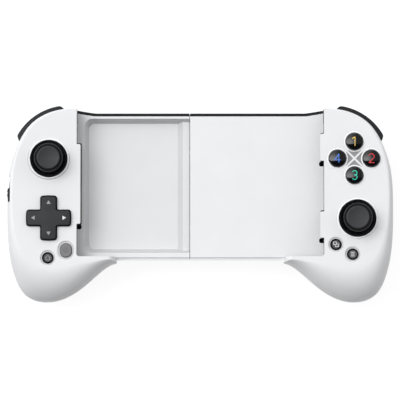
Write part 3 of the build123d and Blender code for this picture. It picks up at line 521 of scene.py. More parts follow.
def bevelled(mesh, width, segments=2, angle=40):
    """The mesh with its sharp edges rounded."""
    obj = staged("draft", mesh)
    modifier = obj.modifiers.new("round", "BEVEL")
    modifier.width = width
    modifier.segments = segments
    modifier.limit_method = "ANGLE"
    modifier.angle_limit = radians(angle)
    modifier.use_clamp_overlap = True
    result = evaluated(obj)
    bpy.data.objects.remove(obj)
    return result


def near(point, places, reach):
    """Whether a point lies, seen from above, within reach of one of the places."""
    return any(hypot(point.x - x, point.y - y) < reach for x, y in places)


def mirrored(mesh):
    """The same mesh, turned into its mirror image across X 0."""
    mesh.transform(Matrix.Scale(-1, 4, (1, 0, 0)))
    mesh.flip_normals()
    return mesh


def piece(name, mesh, body, materials, crease=35, replaces=(), flat=False):
    """Puts a finished mesh in the scene, in metres, on its body, if any. flat keeps large faces level."""
    mesh.name = name
    mesh.transform(Matrix.Scale(MM, 4))
    for material in materials:
        mesh.materials.append(material)
    for polygon in mesh.polygons:
        polygon.use_smooth = True
    mesh.set_sharp_from_angle(angle=radians(crease))
    obj = staged(name, mesh)
    if body:
        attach(obj, body)
    if replaces:
        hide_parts(*replaces)
    if flat:
        normals = obj.modifiers.new("normals", "WEIGHTED_NORMAL")
        normals.keep_sharp = True
    return obj


def paint(mesh, index, test):
    """Gives the faces whose middle passes the test another of the piece's materials."""
    for polygon in mesh.polygons:
        if test(polygon.center, polygon.normal):
            polygon.material_index = index


# Strokes for numbers and icons

STROKE_SUNK = 0.7


def stroke_mesh(lines, centre, size, radius, height_at):
    """Round strokes sunk in a surface whose height depends on the way from the centre. Lines are lists of
    points in units of size."""
    curve = bpy.data.curves.new("stroke", "CURVE")
    curve.dimensions = "3D"
    curve.bevel_depth = radius
    curve.bevel_resolution = 3
    curve.use_fill_caps = True
    for line in lines:
        points = refined(line)
        stroke = curve.splines.new("POLY")
        stroke.points.add(len(points) - 1)
        for target, (x, y) in zip(stroke.points, points):
            z = height_at(hypot(x * size, y * size)) - radius * STROKE_SUNK
            target.co = (centre[0] + x * size, centre[1] + y * size, z, 1)
    obj = staged("stroke", curve)
    mesh = evaluated(obj)
    bpy.data.objects.remove(obj)
    return mesh


def refined(line, step=0.08):
    """The line with more points on its long runs, so that it can follow a dome."""
    points = [line[0]]
    for a, b in zip(line, line[1:]):
        count = max(1, round(hypot(b[0] - a[0], b[1] - a[1]) / step))
        for i in range(1, count + 1):
            points.append((a[0] + (b[0] - a[0]) * i / count, a[1] + (b[1] - a[1]) * i / count))
    return points


def arc(centre, radius, start, end, steps=16):
    """Points along an arc between two angles in degrees."""
    turns = [radians(start + (end - start) * i / steps) for i in range(steps + 1)]
    return [(centre[0] + radius * cos(a), centre[1] + radius * sin(a)) for a in turns]


DIGITS = {
    "1": [[(-0.28, 0.3), (0.05, 0.5), (0.05, -0.5)]],
    "2": [arc((0, 0.2), 0.3, 160, -35) + [(-0.3, -0.5), (0.32, -0.5)]],
    "3": [arc((0, 0.23), 0.27, 150, -90) + arc((0, -0.22), 0.28, 90, -150)],
    "4": [[(0.14, -0.5), (0.14, 0.5), (-0.34, -0.2), (0.34, -0.2)]],
}


# Front shells

OUTER_STEPS = 7
INNER_STEPS = 6
LEVEL_STEPS = 26
FACE_BEVEL = 0.22
LOWER_WALL_X = 40.0
SUNK_REACH = 6.0
CLUSTER_REACH = 8.0


def half_name(side):
    return "right" if side > 0 else "left"


def spline(points, steps):
    """Samples of a smooth curve through the points, steps to each span."""
    p = np.array(points, float)
    t = np.concatenate([[0], np.cumsum(np.linalg.norm(np.diff(p, axis=0), axis=1))])
    h = np.diff(t)
    n = len(p)
    a, b = np.zeros((n, n)), np.zeros(p.shape)
    a[0, 0] = a[-1, -1] = 1
    for i in range(1, n - 1):
        a[i, i - 1:i + 2] = h[i - 1], 2 * (h[i - 1] + h[i]), h[i]
        b[i] = 6 * ((p[i + 1] - p[i]) / h[i] - (p[i] - p[i - 1]) / h[i - 1])
    m = np.linalg.solve(a, b)
    samples = []
    for i in range(n - 1):
        for k in range(steps):
            u, w = k / steps * h[i], (1 - k / steps) * h[i]
            bend = m[i] * w**3 / (6 * h[i]) + m[i + 1] * u**3 / (6 * h[i])
            start = (p[i] / h[i] - m[i] * h[i] / 6) * w
            samples.append(bend + start + (p[i + 1] / h[i] - m[i + 1] * h[i] / 6) * u)
    return [tuple(s) for s in samples + [p[-1]]]


def station_at(station, z):
    """Where a station crosses a level: it rounds from the face to its widest line, and on to the back."""
    edge, wide, front_share, back = station
    if z >= REAR_DEPTH:
        turn = min(1, (FACE - z) / FRONT_DEPTH / front_share)
        share = sqrt(1 - (1 - turn) ** 2)
        start, end = edge, wide
    else:
        turn = min(1, (REAR_DEPTH - z) / REAR_DEPTH)
        share = 1 - sqrt(1 - turn**2)
        start, end = wide, back
    x, y = (a + (b - a) * share for a, b in zip(start, end))
    return (CRADLE_HALF + x, y)


def section(z):
    """The grip's outline at a level, as a closed loop."""
    outer = spline([station_at(s, z) for s in STATIONS], OUTER_STEPS)
    inner = spline([outer[-1]] + [station_at(s, z) for s in INNER_STATIONS] + [outer[0]], INNER_STEPS)
    return outer + inner[1:-1]


def front_base():
    levels = [FACE - FRONT_DEPTH * (i / LEVEL_STEPS) ** 2 for i in range(LEVEL_STEPS, -1, -1)]
    return loft([[(x, y, z) for x, y in section(z)] for z in levels])


def grip_hollow():
    """The room inside a front shell, as a prism under the face."""
    outline = section(SKIN_UNDER)
    points = []
    n = len(outline)
    for i, (x, y) in enumerate(outline):
        ax, ay = outline[i - 1]
        bx, by = outline[(i + 1) % n]
        length = hypot(bx - ax, by - ay)
        points.append((x + (by - ay) / length * GRIP_WALL, y - (bx - ax) / length * GRIP_WALL))
    inside = [p for p in points if p[0] > CRADLE_HALF + PLATE_SKIN]
    return prism(inside, 0, SKIN_UNDER)


def shoulder_frame():
    """The direction of the shoulder's chord, the way out from it, half its length and the arc's height."""
    chord = SHOULDER_END - SHOULDER_START
    u = chord.normalized()
    v = Vector((-u.y, u.x))
    half = chord.length / 2
    sagitta = SHOULDER_R - sqrt(SHOULDER_R**2 - half**2)
    return u, v, half, sagitta


def shoulder_point(along, beyond):
    """A point beyond the shoulder's arc by some way, at a distance along its chord."""
    u, v, half, sagitta = shoulder_frame()
    height = sqrt((SHOULDER_R + beyond) ** 2 - (along - half) ** 2) - SHOULDER_R + sagitta
    return SHOULDER_START + u * along + v * height


def shoulder_outline(inner, outer, end_gap, corner=0.0, steps=40):
    """A bar along the shoulder's arc, from inner to outer beyond it, with its outer corners rounded."""
    half = shoulder_frame()[2]
    span = [end_gap + (2 * half - 2 * end_gap) * i / steps for i in range(steps + 1)]
    points = [tuple(shoulder_point(a, inner)) for a in span]
    for a in reversed(span):
        into = min(corner, a - span[0], span[-1] - a)
        points.append(tuple(shoulder_point(a, outer - corner + sqrt(corner**2 - (corner - into) ** 2))))
    return points


def cradle_cuts(lips):
    """The cradle beside the right-hand wall, and above it the same with the lips left standing."""
    r = CRADLE_CORNER
    start = [(-FAR, BRIDGE_LOW)] + arc((CRADLE_HALF - r, BRIDGE_LOW + r), r, -90, 0, 10)
    end = [(CRADLE_HALF, FAR), (-FAR, FAR)]
    r = LIP_CORNER
    x = CRADLE_HALF - LIP_REACH
    edge = []
    for low, high in lips:
        edge += [(CRADLE_HALF, low)] + arc((x + r, low + r), r, 270, 180, 6)
        edge += arc((x + r, high - r), r, 180, 90, 6) + [(CRADLE_HALF, high)]
    under = FACE - LIP_THICK
    return [prism(start + end, 0, under), prism(start + edge + end, under - OVERLAP, FAR)]


def common_cuts(stick):
    """The hollow, the bumper's room, and the stick's hole with the groove round its ring."""
    bay = shoulder_outline(-BUMPER_IN - BUMPER_ROOM, 4 * BUMPER_OUT, 0)
    return [
        grip_hollow(),
        prism(bay, BUMPER_LOW - BUMPER_GAP, BUMPER_TOP + BUMPER_GAP),
        rod(stick, STICK_HOLE_R, 0, FAR),
        rod(stick, GROOVE_R, FACE - GROOVE_DEPTH, FAR),
    ]


def small_button_cuts(centre):
    """A recess with a leaning wall, and the button's hole in its floor."""
    floor, top = FACE - RECESS_DEPTH, FACE + CLEAR
    wide = RECESS_R + RECESS_LEAN
    profile = [(0, floor), (RECESS_R, floor), (wide, FACE + RECESS_LEAN), (wide, top), (0, top)]
    return [lathe(profile, centre), rod(centre, SMALL_HOLE_R, 0, FAR)]


def unmirrored(centre):
    """A place on the left half, as it is drawn before the mirror."""
    return (-centre[0], centre[1])


def at(points, centre):
    return [(x + centre[0], y + centre[1]) for x, y in points]


def turned(points, quarters):
    """The points after some quarter turns."""
    a = pi / 2 * quarters
    return [(x * cos(a) - y * sin(a), x * sin(a) + y * cos(a)) for x, y in points]


def key_places():
    """The top, right, bottom and left key's places."""
    x, y = CLUSTER
    return [(x + a * CLUSTER_PITCH, y + b * CLUSTER_PITCH) for a, b in ((0, 1), (1, 0), (0, -1), (-1, 0))]


def web_cut(quarters):
    """A shallow three-sided dip between the cluster's middle and one key, along the key's rim."""
    steps = 12
    outline = [(0, WEB_TIP)]
    for k in range(steps + 1):
        share = 2 * k / steps - 1
        reach = WEB_RIM + WEB_SAG * share**2
        lean = radians(WEB_SPREAD) * share
        outline.append((-reach * sin(lean), CLUSTER_PITCH - reach * cos(lean)))
    return prism(at(turned(outline, quarters), CLUSTER), FACE - WEB_DEPTH, FACE + CLEAR)


def cross_outline(span, arm, corner, inner, bow):
    """A plus-shaped outline with round corners and slightly bowed ends."""
    half, side = span / 2, arm / 2
    end = half + bow
    # The right-hand arm, from the lower inner corner round its end to the upper outer corner
    lobe = arc((side + inner, -side - inner), inner, 180, 90, 5)
    lobe += arc((half - corner, -side + corner), corner, -90, 0, 6)
    for t in (-0.5, 0, 0.5):
        lobe.append((end - bow * (2 * t) ** 2, t * (arm - 2 * corner)))
    lobe += arc((half - corner, side - corner), corner, 0, 90, 6)
    return [point for quarters in range(4) for point in turned(lobe, quarters)]


def right_face_cuts():
    cuts = common_cuts(RIGHT_STICK)
    cuts += [rod(place, KEY_HOLE_R, 0, FAR) for place in key_places()]
    cuts += [web_cut(quarters) for quarters in range(4)]
    return cuts + small_button_cuts(SELECT) + small_button_cuts(MENU)


def left_face_cuts():
    """The left face's openings, drawn on the right, with the switch's slot and dent in the outer wall."""
    cuts = common_cuts(unmirrored(LEFT_STICK))
    cuts.append(prism(at(cross_outline(*DPAD_HOLE), unmirrored(DPAD)), 0, FAR))
    cuts += small_button_cuts(unmirrored(HOME))
    place = unmirrored(CAPTURE)
    cuts.append(prism(slot_outline(place, *CAPTURE_RECESS), FACE - RECESS_DEPTH, FACE + CLEAR))
    cuts.append(prism(slot_outline(place, *CAPTURE_HOLE), 0, FAR))
    cuts.append(block((SWITCH_HOLE_X, FAR), SWITCH_HOLE_Y, SWITCH_HOLE_Z))
    dent = [(38.3, 16), (38.45, 1.2), (39.0, 0.6), (42, 0.2), (42, 16)]
    cuts.append(prism(at(dent, (CRADLE_HALF, 0)), 0, FAR))
    return cuts


def is_sunk(c, n, depth):
    """Whether a face looks up from about this depth under the shell's face."""
    return abs(FACE - depth - c.z) < 2 * HAIR and n.z > FACING


def on_frame(c, n):
    """Whether a face frames the device: in the clamping wall, or in the lower wall and its corner."""
    if c.z > FACE - FACE_BEVEL:
        return False
    wall = abs(c.x - CRADLE_HALF) < HAIR and n.x < -FACING
    upright = n.y - n.x > FACING and n.y > HAIR and abs(n.z) < 2 * HAIR
    inside = LOWER_WALL_X < c.x < CRADLE_HALF and c.z > PLATE - 1
    return wall or (upright and inside and -HAIR < c.y - BRIDGE_LOW < CRADLE_CORNER)


def make_front_shell(side):
    """The white face of a grip. It is drawn as a right-hand one, and the left one is mirrored."""
    if side > 0:
        cuts, sunk, lips = right_face_cuts(), [SELECT, MENU], RIGHT_LIPS
    else:
        cuts, sunk, lips = left_face_cuts(), [unmirrored(HOME), unmirrored(CAPTURE)], LEFT_LIPS
    mesh = bevelled(carved(front_base(), cuts + cradle_cuts(lips)), FACE_BEVEL)
    # The recess floors get the grey, which is partly painted shade
    paint(mesh, 1, lambda c, n: is_sunk(c, n, RECESS_DEPTH) and near(c, sunk, SUNK_REACH))
    paint(mesh, 2, lambda c, n: is_sunk(c, n, WEB_DEPTH) and near(c, [CLUSTER], CLUSTER_REACH))
    # The frame's walls get the dark facing, which is partly painted shade
    paint(mesh, 3, on_frame)
    if side < 0:
        mesh = mirrored(mesh)
    name = half_name(side)
    materials = [WHITE, RECESS_GREY_AND_SHADE, WEB_GREY, FRAME_FACING_AND_SHADE]
    piece(f"{name}_grip_face", mesh, f"{name}_half", materials,
          replaces=[f"{name}_front_shell"], flat=True)


# The bridge

FLARE_STEPS = 12
FLARE_CURVE = 1.2
COVER_BEVEL = 0.28


def cover_ring(z, seam):
    """The cover's outline at a height, for a right-hand cover."""
    low = BRIDGE_LOW - BRIDGE_DRAFT * (PLATE - z) / (PLATE - BASE_TOP)
    wall = CRADLE_HALF - SEAT
    points = [(seam, low), (CRADLE_HALF + BRIDGE_TONGUE, low), (CRADLE_HALF + BRIDGE_TONGUE, TONGUE_TOP),
              (wall, TONGUE_TOP)]
    for i in range(FLARE_STEPS + 1):
        share = 1 - i / FLARE_STEPS
        points.append((wall - FLARE * (1 - share), BRIDGE_TOP + FLARE_RISE * share**FLARE_CURVE))
    return [(x, y, z) for x, y in points + [(seam, BRIDGE_TOP)]]


def pocket_ring(z, right_end):
    """The camera pocket's outline at a height, with round corners at its left."""
    share = (PLATE - z) / POCKET_DEPTH
    inset = POCKET_DRAFT * share
    r = POCKET_CORNERS[0] + (POCKET_CORNERS[1] - POCKET_CORNERS[0]) * share
    left, low, high = POCKET_X[0] + inset, POCKET_Y[0] + inset, POCKET_Y[1] - inset
    points = [(right_end, high)] + arc((left + r, high - r), r, 90, 180, 12)
    points += arc((left + r, low + r), r, 180, 270, 12) + [(right_end, low)]
    return [(x, y, z) for x, y in points]


def pocket_cut():
    ledge = PLATE - LEDGE_DROP
    past = SEAM_X + 1
    floor = PLATE - POCKET_DEPTH
    return loft([pocket_ring(floor, POCKET_X[1]), pocket_ring(ledge, LEDGE_X), pocket_ring(ledge, past),
                 pocket_ring(PLATE + 1, past)])


def window_cuts(side, low, high):
    """The slot under a clamping lip, and the open end below it."""
    left = CRADLE_HALF - LIP_REACH
    slot_x = left + side * WINDOW_SLIT
    end = CRADLE_HALF + OVERLAP
    r = WINDOW_CORNER
    spans = [(slot_x, low, high + WINDOW_ABOVE), (left - WINDOW_SLIT, low - WINDOW_BELOW, low + 0.3)]
    cuts = []
    for x, y_low, y_high in spans:
        points = arc((x + r, y_high - r), r, 90, 180, 5) + arc((x + r, y_low + r), r, 180, 270, 5)
        cuts.append(prism(points + [(end, y_low), (end, y_high)], PLATE - PLATE_SKIN - 1, FAR))
    return cuts


def along_x(points, x_low, x_high):
    """A prism along X from (y, z) points."""
    return loft([[(x, y, z) for y, z in points] for x in (x_low, x_high)])


def in_pocket(c):
    """Whether a face of the cover, before its mirror, is in the pocket or on the ledge beside it."""
    margin = 0.5
    within = c.x < -POCKET_X[0] + margin and POCKET_Y[0] - margin < c.y < POCKET_Y[1] + margin
    return within and HAIR < PLATE - c.z < POCKET_DEPTH + 2 * HAIR


def on_pocket_wall(c, n):
    return in_pocket(c) and 0.2 < n.z < NEARLY_LEVEL and c.z > PLATE - POCKET_DEPTH + HAIR


def on_pocket_floor(c, n):
    return in_pocket(c) and n.z >= NEARLY_LEVEL


def edge_ledge(seam):
    """The small step along the plate's lower edge, which leans back into the wall."""
    inside, outside = BRIDGE_LOW + 0.5, BRIDGE_LOW - EDGE_LEDGE
    profile = [(inside, PLATE - 0.9), (outside, PLATE - 0.9), (outside, PLATE - 1.7),
               (BRIDGE_LOW - 0.7, PLATE - 6), (inside, PLATE - 6)]
    return along_x(profile, seam, EDGE_LEDGE_END)


def make_cover(side):
    """The white half of the bridge. It is drawn as a right-hand one, and the left one is mirrored."""
    seam = side * SEAM_X + SEAM_GAP / 2
    low, high = BRIDGE_FOOT + BRIDGE_WALL, BRIDGE_TOP - BRIDGE_WALL
    inner_y = (low + BRIDGE_DRAFT, high)
    ceiling = PLATE - PLATE_SKIN
    r = CRADLE_CORNER
    outside = [(0, BRIDGE_LOW)] + arc((CRADLE_HALF - r, BRIDGE_LOW + r), r, -90, 0, 10)
    outside += [(CRADLE_HALF, FAR), (FAR, FAR), (FAR, -FAR), (0, -FAR)]
    cuts = [prism(outside, PLATE - TONGUE_DROP, FAR)]
    if side > 0:
        cuts.append(block((-FAR, FAR), inner_y, (0, ceiling)))
    else:
        cuts.append(block((POCKET_WALL_THICK - POCKET_X[0], FAR), inner_y, (0, ceiling)))
        cuts.append(block((-FAR, FAR), (low + 0.7, high), (0, PLATE - POCKET_DEPTH - POCKET_FLOOR)))
        cuts.append(mirrored(pocket_cut()))
    for lip in RIGHT_LIPS if side > 0 else LEFT_LIPS:
        cuts += window_cuts(side, *lip)
    outer = loft([cover_ring(BASE_TOP, seam), cover_ring(PLATE, seam)])
    mesh = bevelled(carved(outer, cuts, [edge_ledge(seam)]), COVER_BEVEL, segments=3, angle=25)
    if side < 0:
        # The pocket's walls get painted shade, a grey darker than the white
        paint(mesh, 1, on_pocket_wall)
        # The pocket's floor gets painted shade, a slightly greyer white
        paint(mesh, 2, on_pocket_floor)
        mesh = mirrored(mesh)
    name = half_name(side)
    materials = [WHITE, POCKET_WALL_SHADE, POCKET_FLOOR_SHADE]
    piece(f"{name}_cradle_skin", mesh, f"{name}_half", materials,
          replaces=[f"{name}_bridge_cover"], flat=True)


def make_seam_lip():
    """A thin strip on the back of the left half, which closes the seam while the halves touch."""
    back = BASE_TOP - BASE_SKIN
    x = (SEAM_X - 3.0, SEAM_X + 2.4)
    y = (BRIDGE_FOOT + 0.7, BRIDGE_TOP + BAND_OUT - 0.3)
    band = block(x, y, (back - 0.5, back - 0.02))
    piece("seam_lip", bevelled(band, 0.15), "left_half", [BLACK])


def strip(path, y, thick):
    """A flat band of even thickness along a path of x and z."""
    corners = [(1, y[0]), (1, y[1]), (-1, y[1]), (-1, y[0])]
    rings = []
    for k, (x, z) in enumerate(path):
        ahead, behind = path[min(k + 1, len(path) - 1)], path[max(k - 1, 0)]
        way = Vector((ahead[0] - behind[0], ahead[1] - behind[1])).normalized()
        out = Vector((-way.y, way.x)) * thick / 2
        rings.append([(x + face * out.x, across, z + face * out.y) for face, across in corners])
    return loft(rings)


def make_ribbon():
    """The link between the boards: a lower run to the fold, and the return above it."""
    low, high = ([v / MM for v in corner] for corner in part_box("link_ribbon"))
    y = (low[1], high[1])
    bottom, top = low[2] + RIBBON_THICK / 2, high[2] - RIBBON_THICK / 2
    r = (top - bottom) / 2
    fold = high[0] - RIBBON_THICK / 2 - r
    steps, bends = 40, 12
    run = [(low[0] + (fold - low[0]) * k / steps, bottom) for k in range(steps)]
    turns = [pi * k / bends for k in range(bends + 1)]
    run += [(fold + r * sin(a), bottom + r - r * cos(a)) for a in turns]
    under = piece("ribbon_run", strip(run, y, RIBBON_THICK), None, [FLEX],
                  replaces=["link_ribbon"])
    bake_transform(under)
    end = SEAM_X + RIBBON_HELD
    back = [(fold - (fold - end) * k / steps, top) for k in range(steps + 1)]
    over = piece("ribbon_return", strip(back, y, RIBBON_THICK), None, [FLEX])
    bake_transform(over)


def make_switch():
    """The slide switch's knob, with its two thumb ridges, and its flange inside the shell."""
    inside, rise = 33.5, 1.5
    outline = [(inside, -4.2), (40.0, -4.2), (40.05, -2.4), (40.42, -0.3), (40.46, 0), (40.02, 0.6),
               (40.02, 0.8), (40.44, 1.4), (40.38, 1.8), (39.95, 3.6), (inside, 3.6)]
    knob = prism(at(outline, (CRADLE_HALF, SWITCH_Y)), SWITCH_Z - rise, SWITCH_Z + rise)
    x = (CRADLE_HALF + inside - 0.6, CRADLE_HALF + inside + 0.6)
    flange = block(x, (SWITCH_Y - 6, SWITCH_Y + 6), (SWITCH_Z - 3, SWITCH_Z + 3))
    mesh = mirrored(carved(flange, [], [bevelled(knob, 0.15, angle=30)]))
    piece("switch_knob", mesh, "switch_slider", [BLACK], replaces=["power_switch"])


# Sticks, pad and buttons


def make_stick_rings(name, centre):
    """What is round a stick's hole: the white ring, the dark collar with its trough, and the lining."""
    half = f"{name}_half"
    z = FACE
    lip = [(10.8, z - 0.8), (10.8, z + 0.55), (10.86, z + 0.7), (11.0, z + 0.79), (11.35, z + 0.79),
           (11.47, z + 0.68), (11.52, z + 0.4), (11.57, z - 0.1), (11.85, z - 0.32), (11.85, z - 0.8)]
    # The white ring is given the brighter white as a painted highlight
    piece(f"{name}_stick_lip", lathe(lip, centre, 120), half, [WHITE_HIGHLIGHT])
    collar = [(9.0, z - 2.0), (9.8, z - 3.2), (10.78, z - 3.2), (10.78, z + 0.25), (10.6, z + 0.42),
              (10.35, z + 0.3), (10.2, z - 0.1), (9.95, z - 0.15), (9.75, z - 0.3), (9.6, z - 0.9),
              (9.2, z - 1.2), (9.0, z - 1.4)]
    piece(f"{name}_stick_ring", lathe(collar, centre, 120), half, [TRIM],
          replaces=[f"{name}_stick_collar"])
    well = [(10.5, 20.45), (10.5, z - 3.3), (10.7, z - 3.3), (10.7, 20.2), (8.7, 20.2), (8.7, 20.45)]
    piece(f"{name}_stick_well", lathe(well, centre, 60), half, [DEEP_BLACK_AND_SHADE])


def make_thumb(name, centre):
    """The cap: a dished top, a ring of teeth round it, and its skirt over the gimbal."""
    z = FACE
    top = z + STICK_RISE
    rim = top - 1.4

    def with_teeth(r, height, angle):
        if TEETH_R[0] < r < TEETH_R[1] and height > top - 1.2:
            height -= TOOTH_DEPTH * (0.5 + 0.5 * cos(STICK_TEETH * angle))
        return r, height

    profile = [(5.85 * k / 8, top - 0.95 + 0.9 * (k / 8) ** 2) for k in range(9)] + [
        (6.0, top), (6.2, top - 0.04), (6.5, top - 0.3), (6.8, top - 0.75), (7.0, top - 0.85),
        (7.15, top - 0.75), (7.3, top - 0.5), (7.5, top - 0.42), (7.9, top - 0.5), (8.15, top - 0.75),
        (8.35, top - 1.6), (8.3, top - 2.3), (8.2, top - 3.0), (7.9, top - 3.4),
        (7.4, top - 3.5), (3.4, top - 3.5), (3.4, z - 1.9), (7.2, z - 2.7), (8.3, z - 3.1), (8.3, z - 3.6),
        (0, z - 3.6),
    ]
    cap = lathe(profile, centre, STICK_TEETH * 8, with_teeth)

    def away(c):
        return hypot(c.x - centre[0], c.y - centre[1])

    def on_tooth(c, n):
        turn = cos(STICK_TEETH * atan2(c.y - centre[1], c.x - centre[0]))
        return c.z > rim and TOOTH_TIP_R[0] < away(c) < TOOTH_TIP_R[1] and turn < -0.1

    # The ring round the dish is painted darker, as shade in its groove and between the teeth
    paint(cap, 1, lambda c, n: away(c) > THUMB_DISH_R)
    # Painted shade: the cap's sides and skirt are painted deep black, for the shade in the gap round it
    paint(cap, 2, lambda c, n: away(c) > THUMB_SIDE_R or c.z < rim)
    # The tips of the teeth get a painted highlight
    paint(cap, 3, on_tooth)
    materials = [RUBBER, KNURL_SHADE, DEEP_BLACK_AND_SHADE, KNURL_TIP_HIGHLIGHT]
    piece(f"{name}_thumb", cap, f"{name}_thumb_cap", materials, crease=50,
          replaces=[f"{name}_stick_cap"])


def make_stick(side):
    name = half_name(side)
    centre = RIGHT_STICK if side > 0 else LEFT_STICK
    make_stick_rings(name, centre)
    make_thumb(name, centre)


def key_height(r):
    return FACE + KEY_RISE - KEY_SAG * (r / KEY_SAG_R) ** 2


def make_keys():
    """Four domed keys, each with a raised number and a white rim round its hole."""
    r = KEY_HOLE_R
    rim = [(r, FACE - 0.3), (r, FACE + 0.12), (5.35, FACE + 0.22), (5.6, FACE + 0.22),
           (5.75, FACE + 0.12), (5.85, FACE - 0.02), (5.85, FACE - 0.3)]
    dome = [(KEY_DOME_R * k / 10, key_height(KEY_DOME_R * k / 10)) for k in range(11)]
    dome += [(4.75, FACE + 1.1), (4.95, FACE + 0.75), (KEY_R, FACE + 0.3), (KEY_R, BUTTON_FOOT),
             (0, BUTTON_FOOT)]
    specs = [("top_key", "1", YELLOW), ("right_key", "2", RED), ("bottom_key", "3", TEAL),
             ("left_key", "4", BLUE)]
    for (node, digit, colour), place in zip(specs, key_places()):
        body = f"{node}_body"
        piece(f"{node}_dome", lathe(dome, place), body, [GLOSS_BLACK], crease=60,
              replaces=[node])
        mark = stroke_mesh(DIGITS[digit], place, KEY_DIGIT, KEY_STROKE, key_height)
        piece(f"{node}_number", mark, body, [colour], crease=60)
        # The rim round each key is given the brighter white as a painted highlight
        piece(f"{node}_rim", lathe(rim, place, 72), "right_half", [WHITE_HIGHLIGHT])


def make_small_buttons():
    """Three round buttons with a raised rim round a disc that bears a mark."""
    house = [[(-0.5, 0.0), (0, 0.45), (0.5, 0.0)],
             [(-0.34, 0.05), (-0.34, -0.42), (0.34, -0.42), (0.34, 0.05)]]
    squares = [[(-0.45, -0.05), (-0.45, 0.45), (0.1, 0.45), (0.1, -0.05), (-0.45, -0.05)],
               [(-0.1, -0.45), (0.45, -0.45), (0.45, 0.1), (0.25, 0.1)], [(-0.1, -0.45), (-0.1, -0.2)]]
    lines = [[(-0.36, h), (0.36, h)] for h in (0.35, 0, -0.35)]
    specs = [("home_button", HOME, house, 0.25, MARK_GREY),
             ("select_button", SELECT, squares, 0.25, MARK_WHITE),
             ("menu_button", MENU, lines, 0.3, MARK_WHITE)]
    r = SMALL_R
    disc = FACE + DISC_RISE
    profile = [(0, disc), (r - 0.95, disc), (r - 0.8, FACE + 0.32), (r - 0.65, FACE + 0.45),
               (r - 0.4, FACE + SMALL_RISE), (r - 0.15, FACE + 0.4), (r - 0.02, FACE + 0.1), (r, FACE - 0.3),
               (r, BUTTON_FOOT), (0, BUTTON_FOOT)]
    for node, place, icon, thick, colour in specs:
        mesh = lathe(profile, place, 72)
        paint(mesh, 1, lambda c, n: c.z > FACE + 0.2 and near(c, [place], r - DISC_INSET))
        body = f"{node}_body"
        piece(f"{node}_top", mesh, body, [DEEP_BLACK_AND_SHADE, DISC], crease=50, replaces=[node])
        mark = stroke_mesh(icon, place, ICON, thick, lambda away: disc)
        piece(f"{node}_icon", mark, body, [colour], crease=60)


def make_capture_button():
    """The grey oval button, with an eight-sided ring round a smaller round one."""
    body = "capture_button_body"
    top = FACE + SMALL_RISE
    outline = slot_outline(CAPTURE, *CAPTURE_SIZE, 24)
    mesh = bevelled(prism(outline, BUTTON_FOOT, top), CAPTURE_ROUND, segments=4, angle=60)
    # The rounded edge gets painted shade, a darker grey than the top
    paint(mesh, 1, lambda c, n: n.z < LEVEL)
    piece("capture_button_top", mesh, body, [OVAL_GREY, OVAL_EDGE_SHADE], crease=50,
          replaces=["capture_button"], flat=True)
    rings = [arc((0, 0), 0.5, 0, 360, 8), arc((0, 0), 0.22, 0, 360, 20)]
    mark = stroke_mesh(rings, CAPTURE, ICON, CAPTURE_STROKE, lambda away: top)
    piece("capture_button_icon", mark, body, [MARK_DIM], crease=60)


def make_dpad():
    """The direction pad, with a raised arrow on each arm."""
    top = FACE + DPAD_RISE
    cross = prism(at(cross_outline(*DPAD_SIZE), DPAD), DPAD_FOOT, top)
    mesh = bevelled(cross, DPAD_ROUND, segments=5, angle=60)
    # Painted shade: the sloping edges are painted deep black, darker than the pad's top
    paint(mesh, 1, lambda c, n: n.z < FACING)
    piece("dpad_cross_top", mesh, "dpad_cross", [DPAD_DARK, DEEP_BLACK_AND_SHADE], crease=50,
          replaces=["dpad"])
    shape = [(10.1, 0), (8.0, 1.2), (8.0, -1.2)]
    # The arrows are one print: the right one has a painted highlight and the lower one painted shade
    arrows = [("right", ARROW_HIGHLIGHT), ("up", MARK_GREY), ("left", MARK_GREY), ("down", ARROW_SHADE)]
    for quarters, (way, tone) in enumerate(arrows):
        arrow = prism(at(turned(shape, quarters), DPAD), top - 0.2, top + 0.06)
        piece(f"dpad_arrow_{way}", arrow, "dpad_cross", [tone])


def make_bumper(side):
    """The black bar round the shoulder, with soft edges."""
    outline = shoulder_outline(-BUMPER_IN, BUMPER_OUT, end_gap=0.5, corner=1.6, steps=80)
    mesh = bevelled(prism(outline, BUMPER_LOW, BUMPER_TOP), BUMPER_ROUND, segments=4, angle=60)
    # Painted shade: the sloping sides are painted deep black, darker than the bar's top
    paint(mesh, 1, lambda c, n: n.z < NEARLY_LEVEL)
    if side < 0:
        mesh = mirrored(mesh)
    name = half_name(side)
    piece(f"{name}_bumper_bar", mesh, f"{name}_bumper_body", [TRIM, DEEP_BLACK_AND_SHADE], crease=50,
          replaces=[f"{name}_bumper"])


CAD_WELD = 0.01 * MM
CAD_CREASE = 32.0


def dress_cad():
    """Gives the CAD pieces that stay their materials, and softens the moulded ones' shading."""
    kinds = [("rear_shell", BLACK), ("bridge_base", BLACK), ("trigger", TRIM), ("membrane", PAD),
             ("circuit_board", BOARD), ("battery", CELL), ("slide_carriage", BLACK), ("rails", STEEL),
             ("screws", SCREW), ("pins", STEEL), ("spring", STEEL), ("socket", STEEL), ("bushes", ACETAL),
             ("stick_block", BLACK), ("yoke", BLACK), ("rocker", BLACK), ("dpad_post", ACETAL),
             ("dpad_pivot", ACETAL)]
    for node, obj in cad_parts.items():
        for key, material in kinds:
            if key in node:
                obj.data.materials.clear()
                obj.data.materials.append(material)
                break
        if "rear_shell" in node or "trigger" in node:
            weld = obj.modifiers.new("weld", "WELD")
            weld.merge_threshold = CAD_WELD
            split = obj.modifiers.new("split", "EDGE_SPLIT")
            split.split_angle = radians(CAD_CREASE)
            obj.modifiers.new("normals", "WEIGHTED_NORMAL")


# Camera, lights and floor


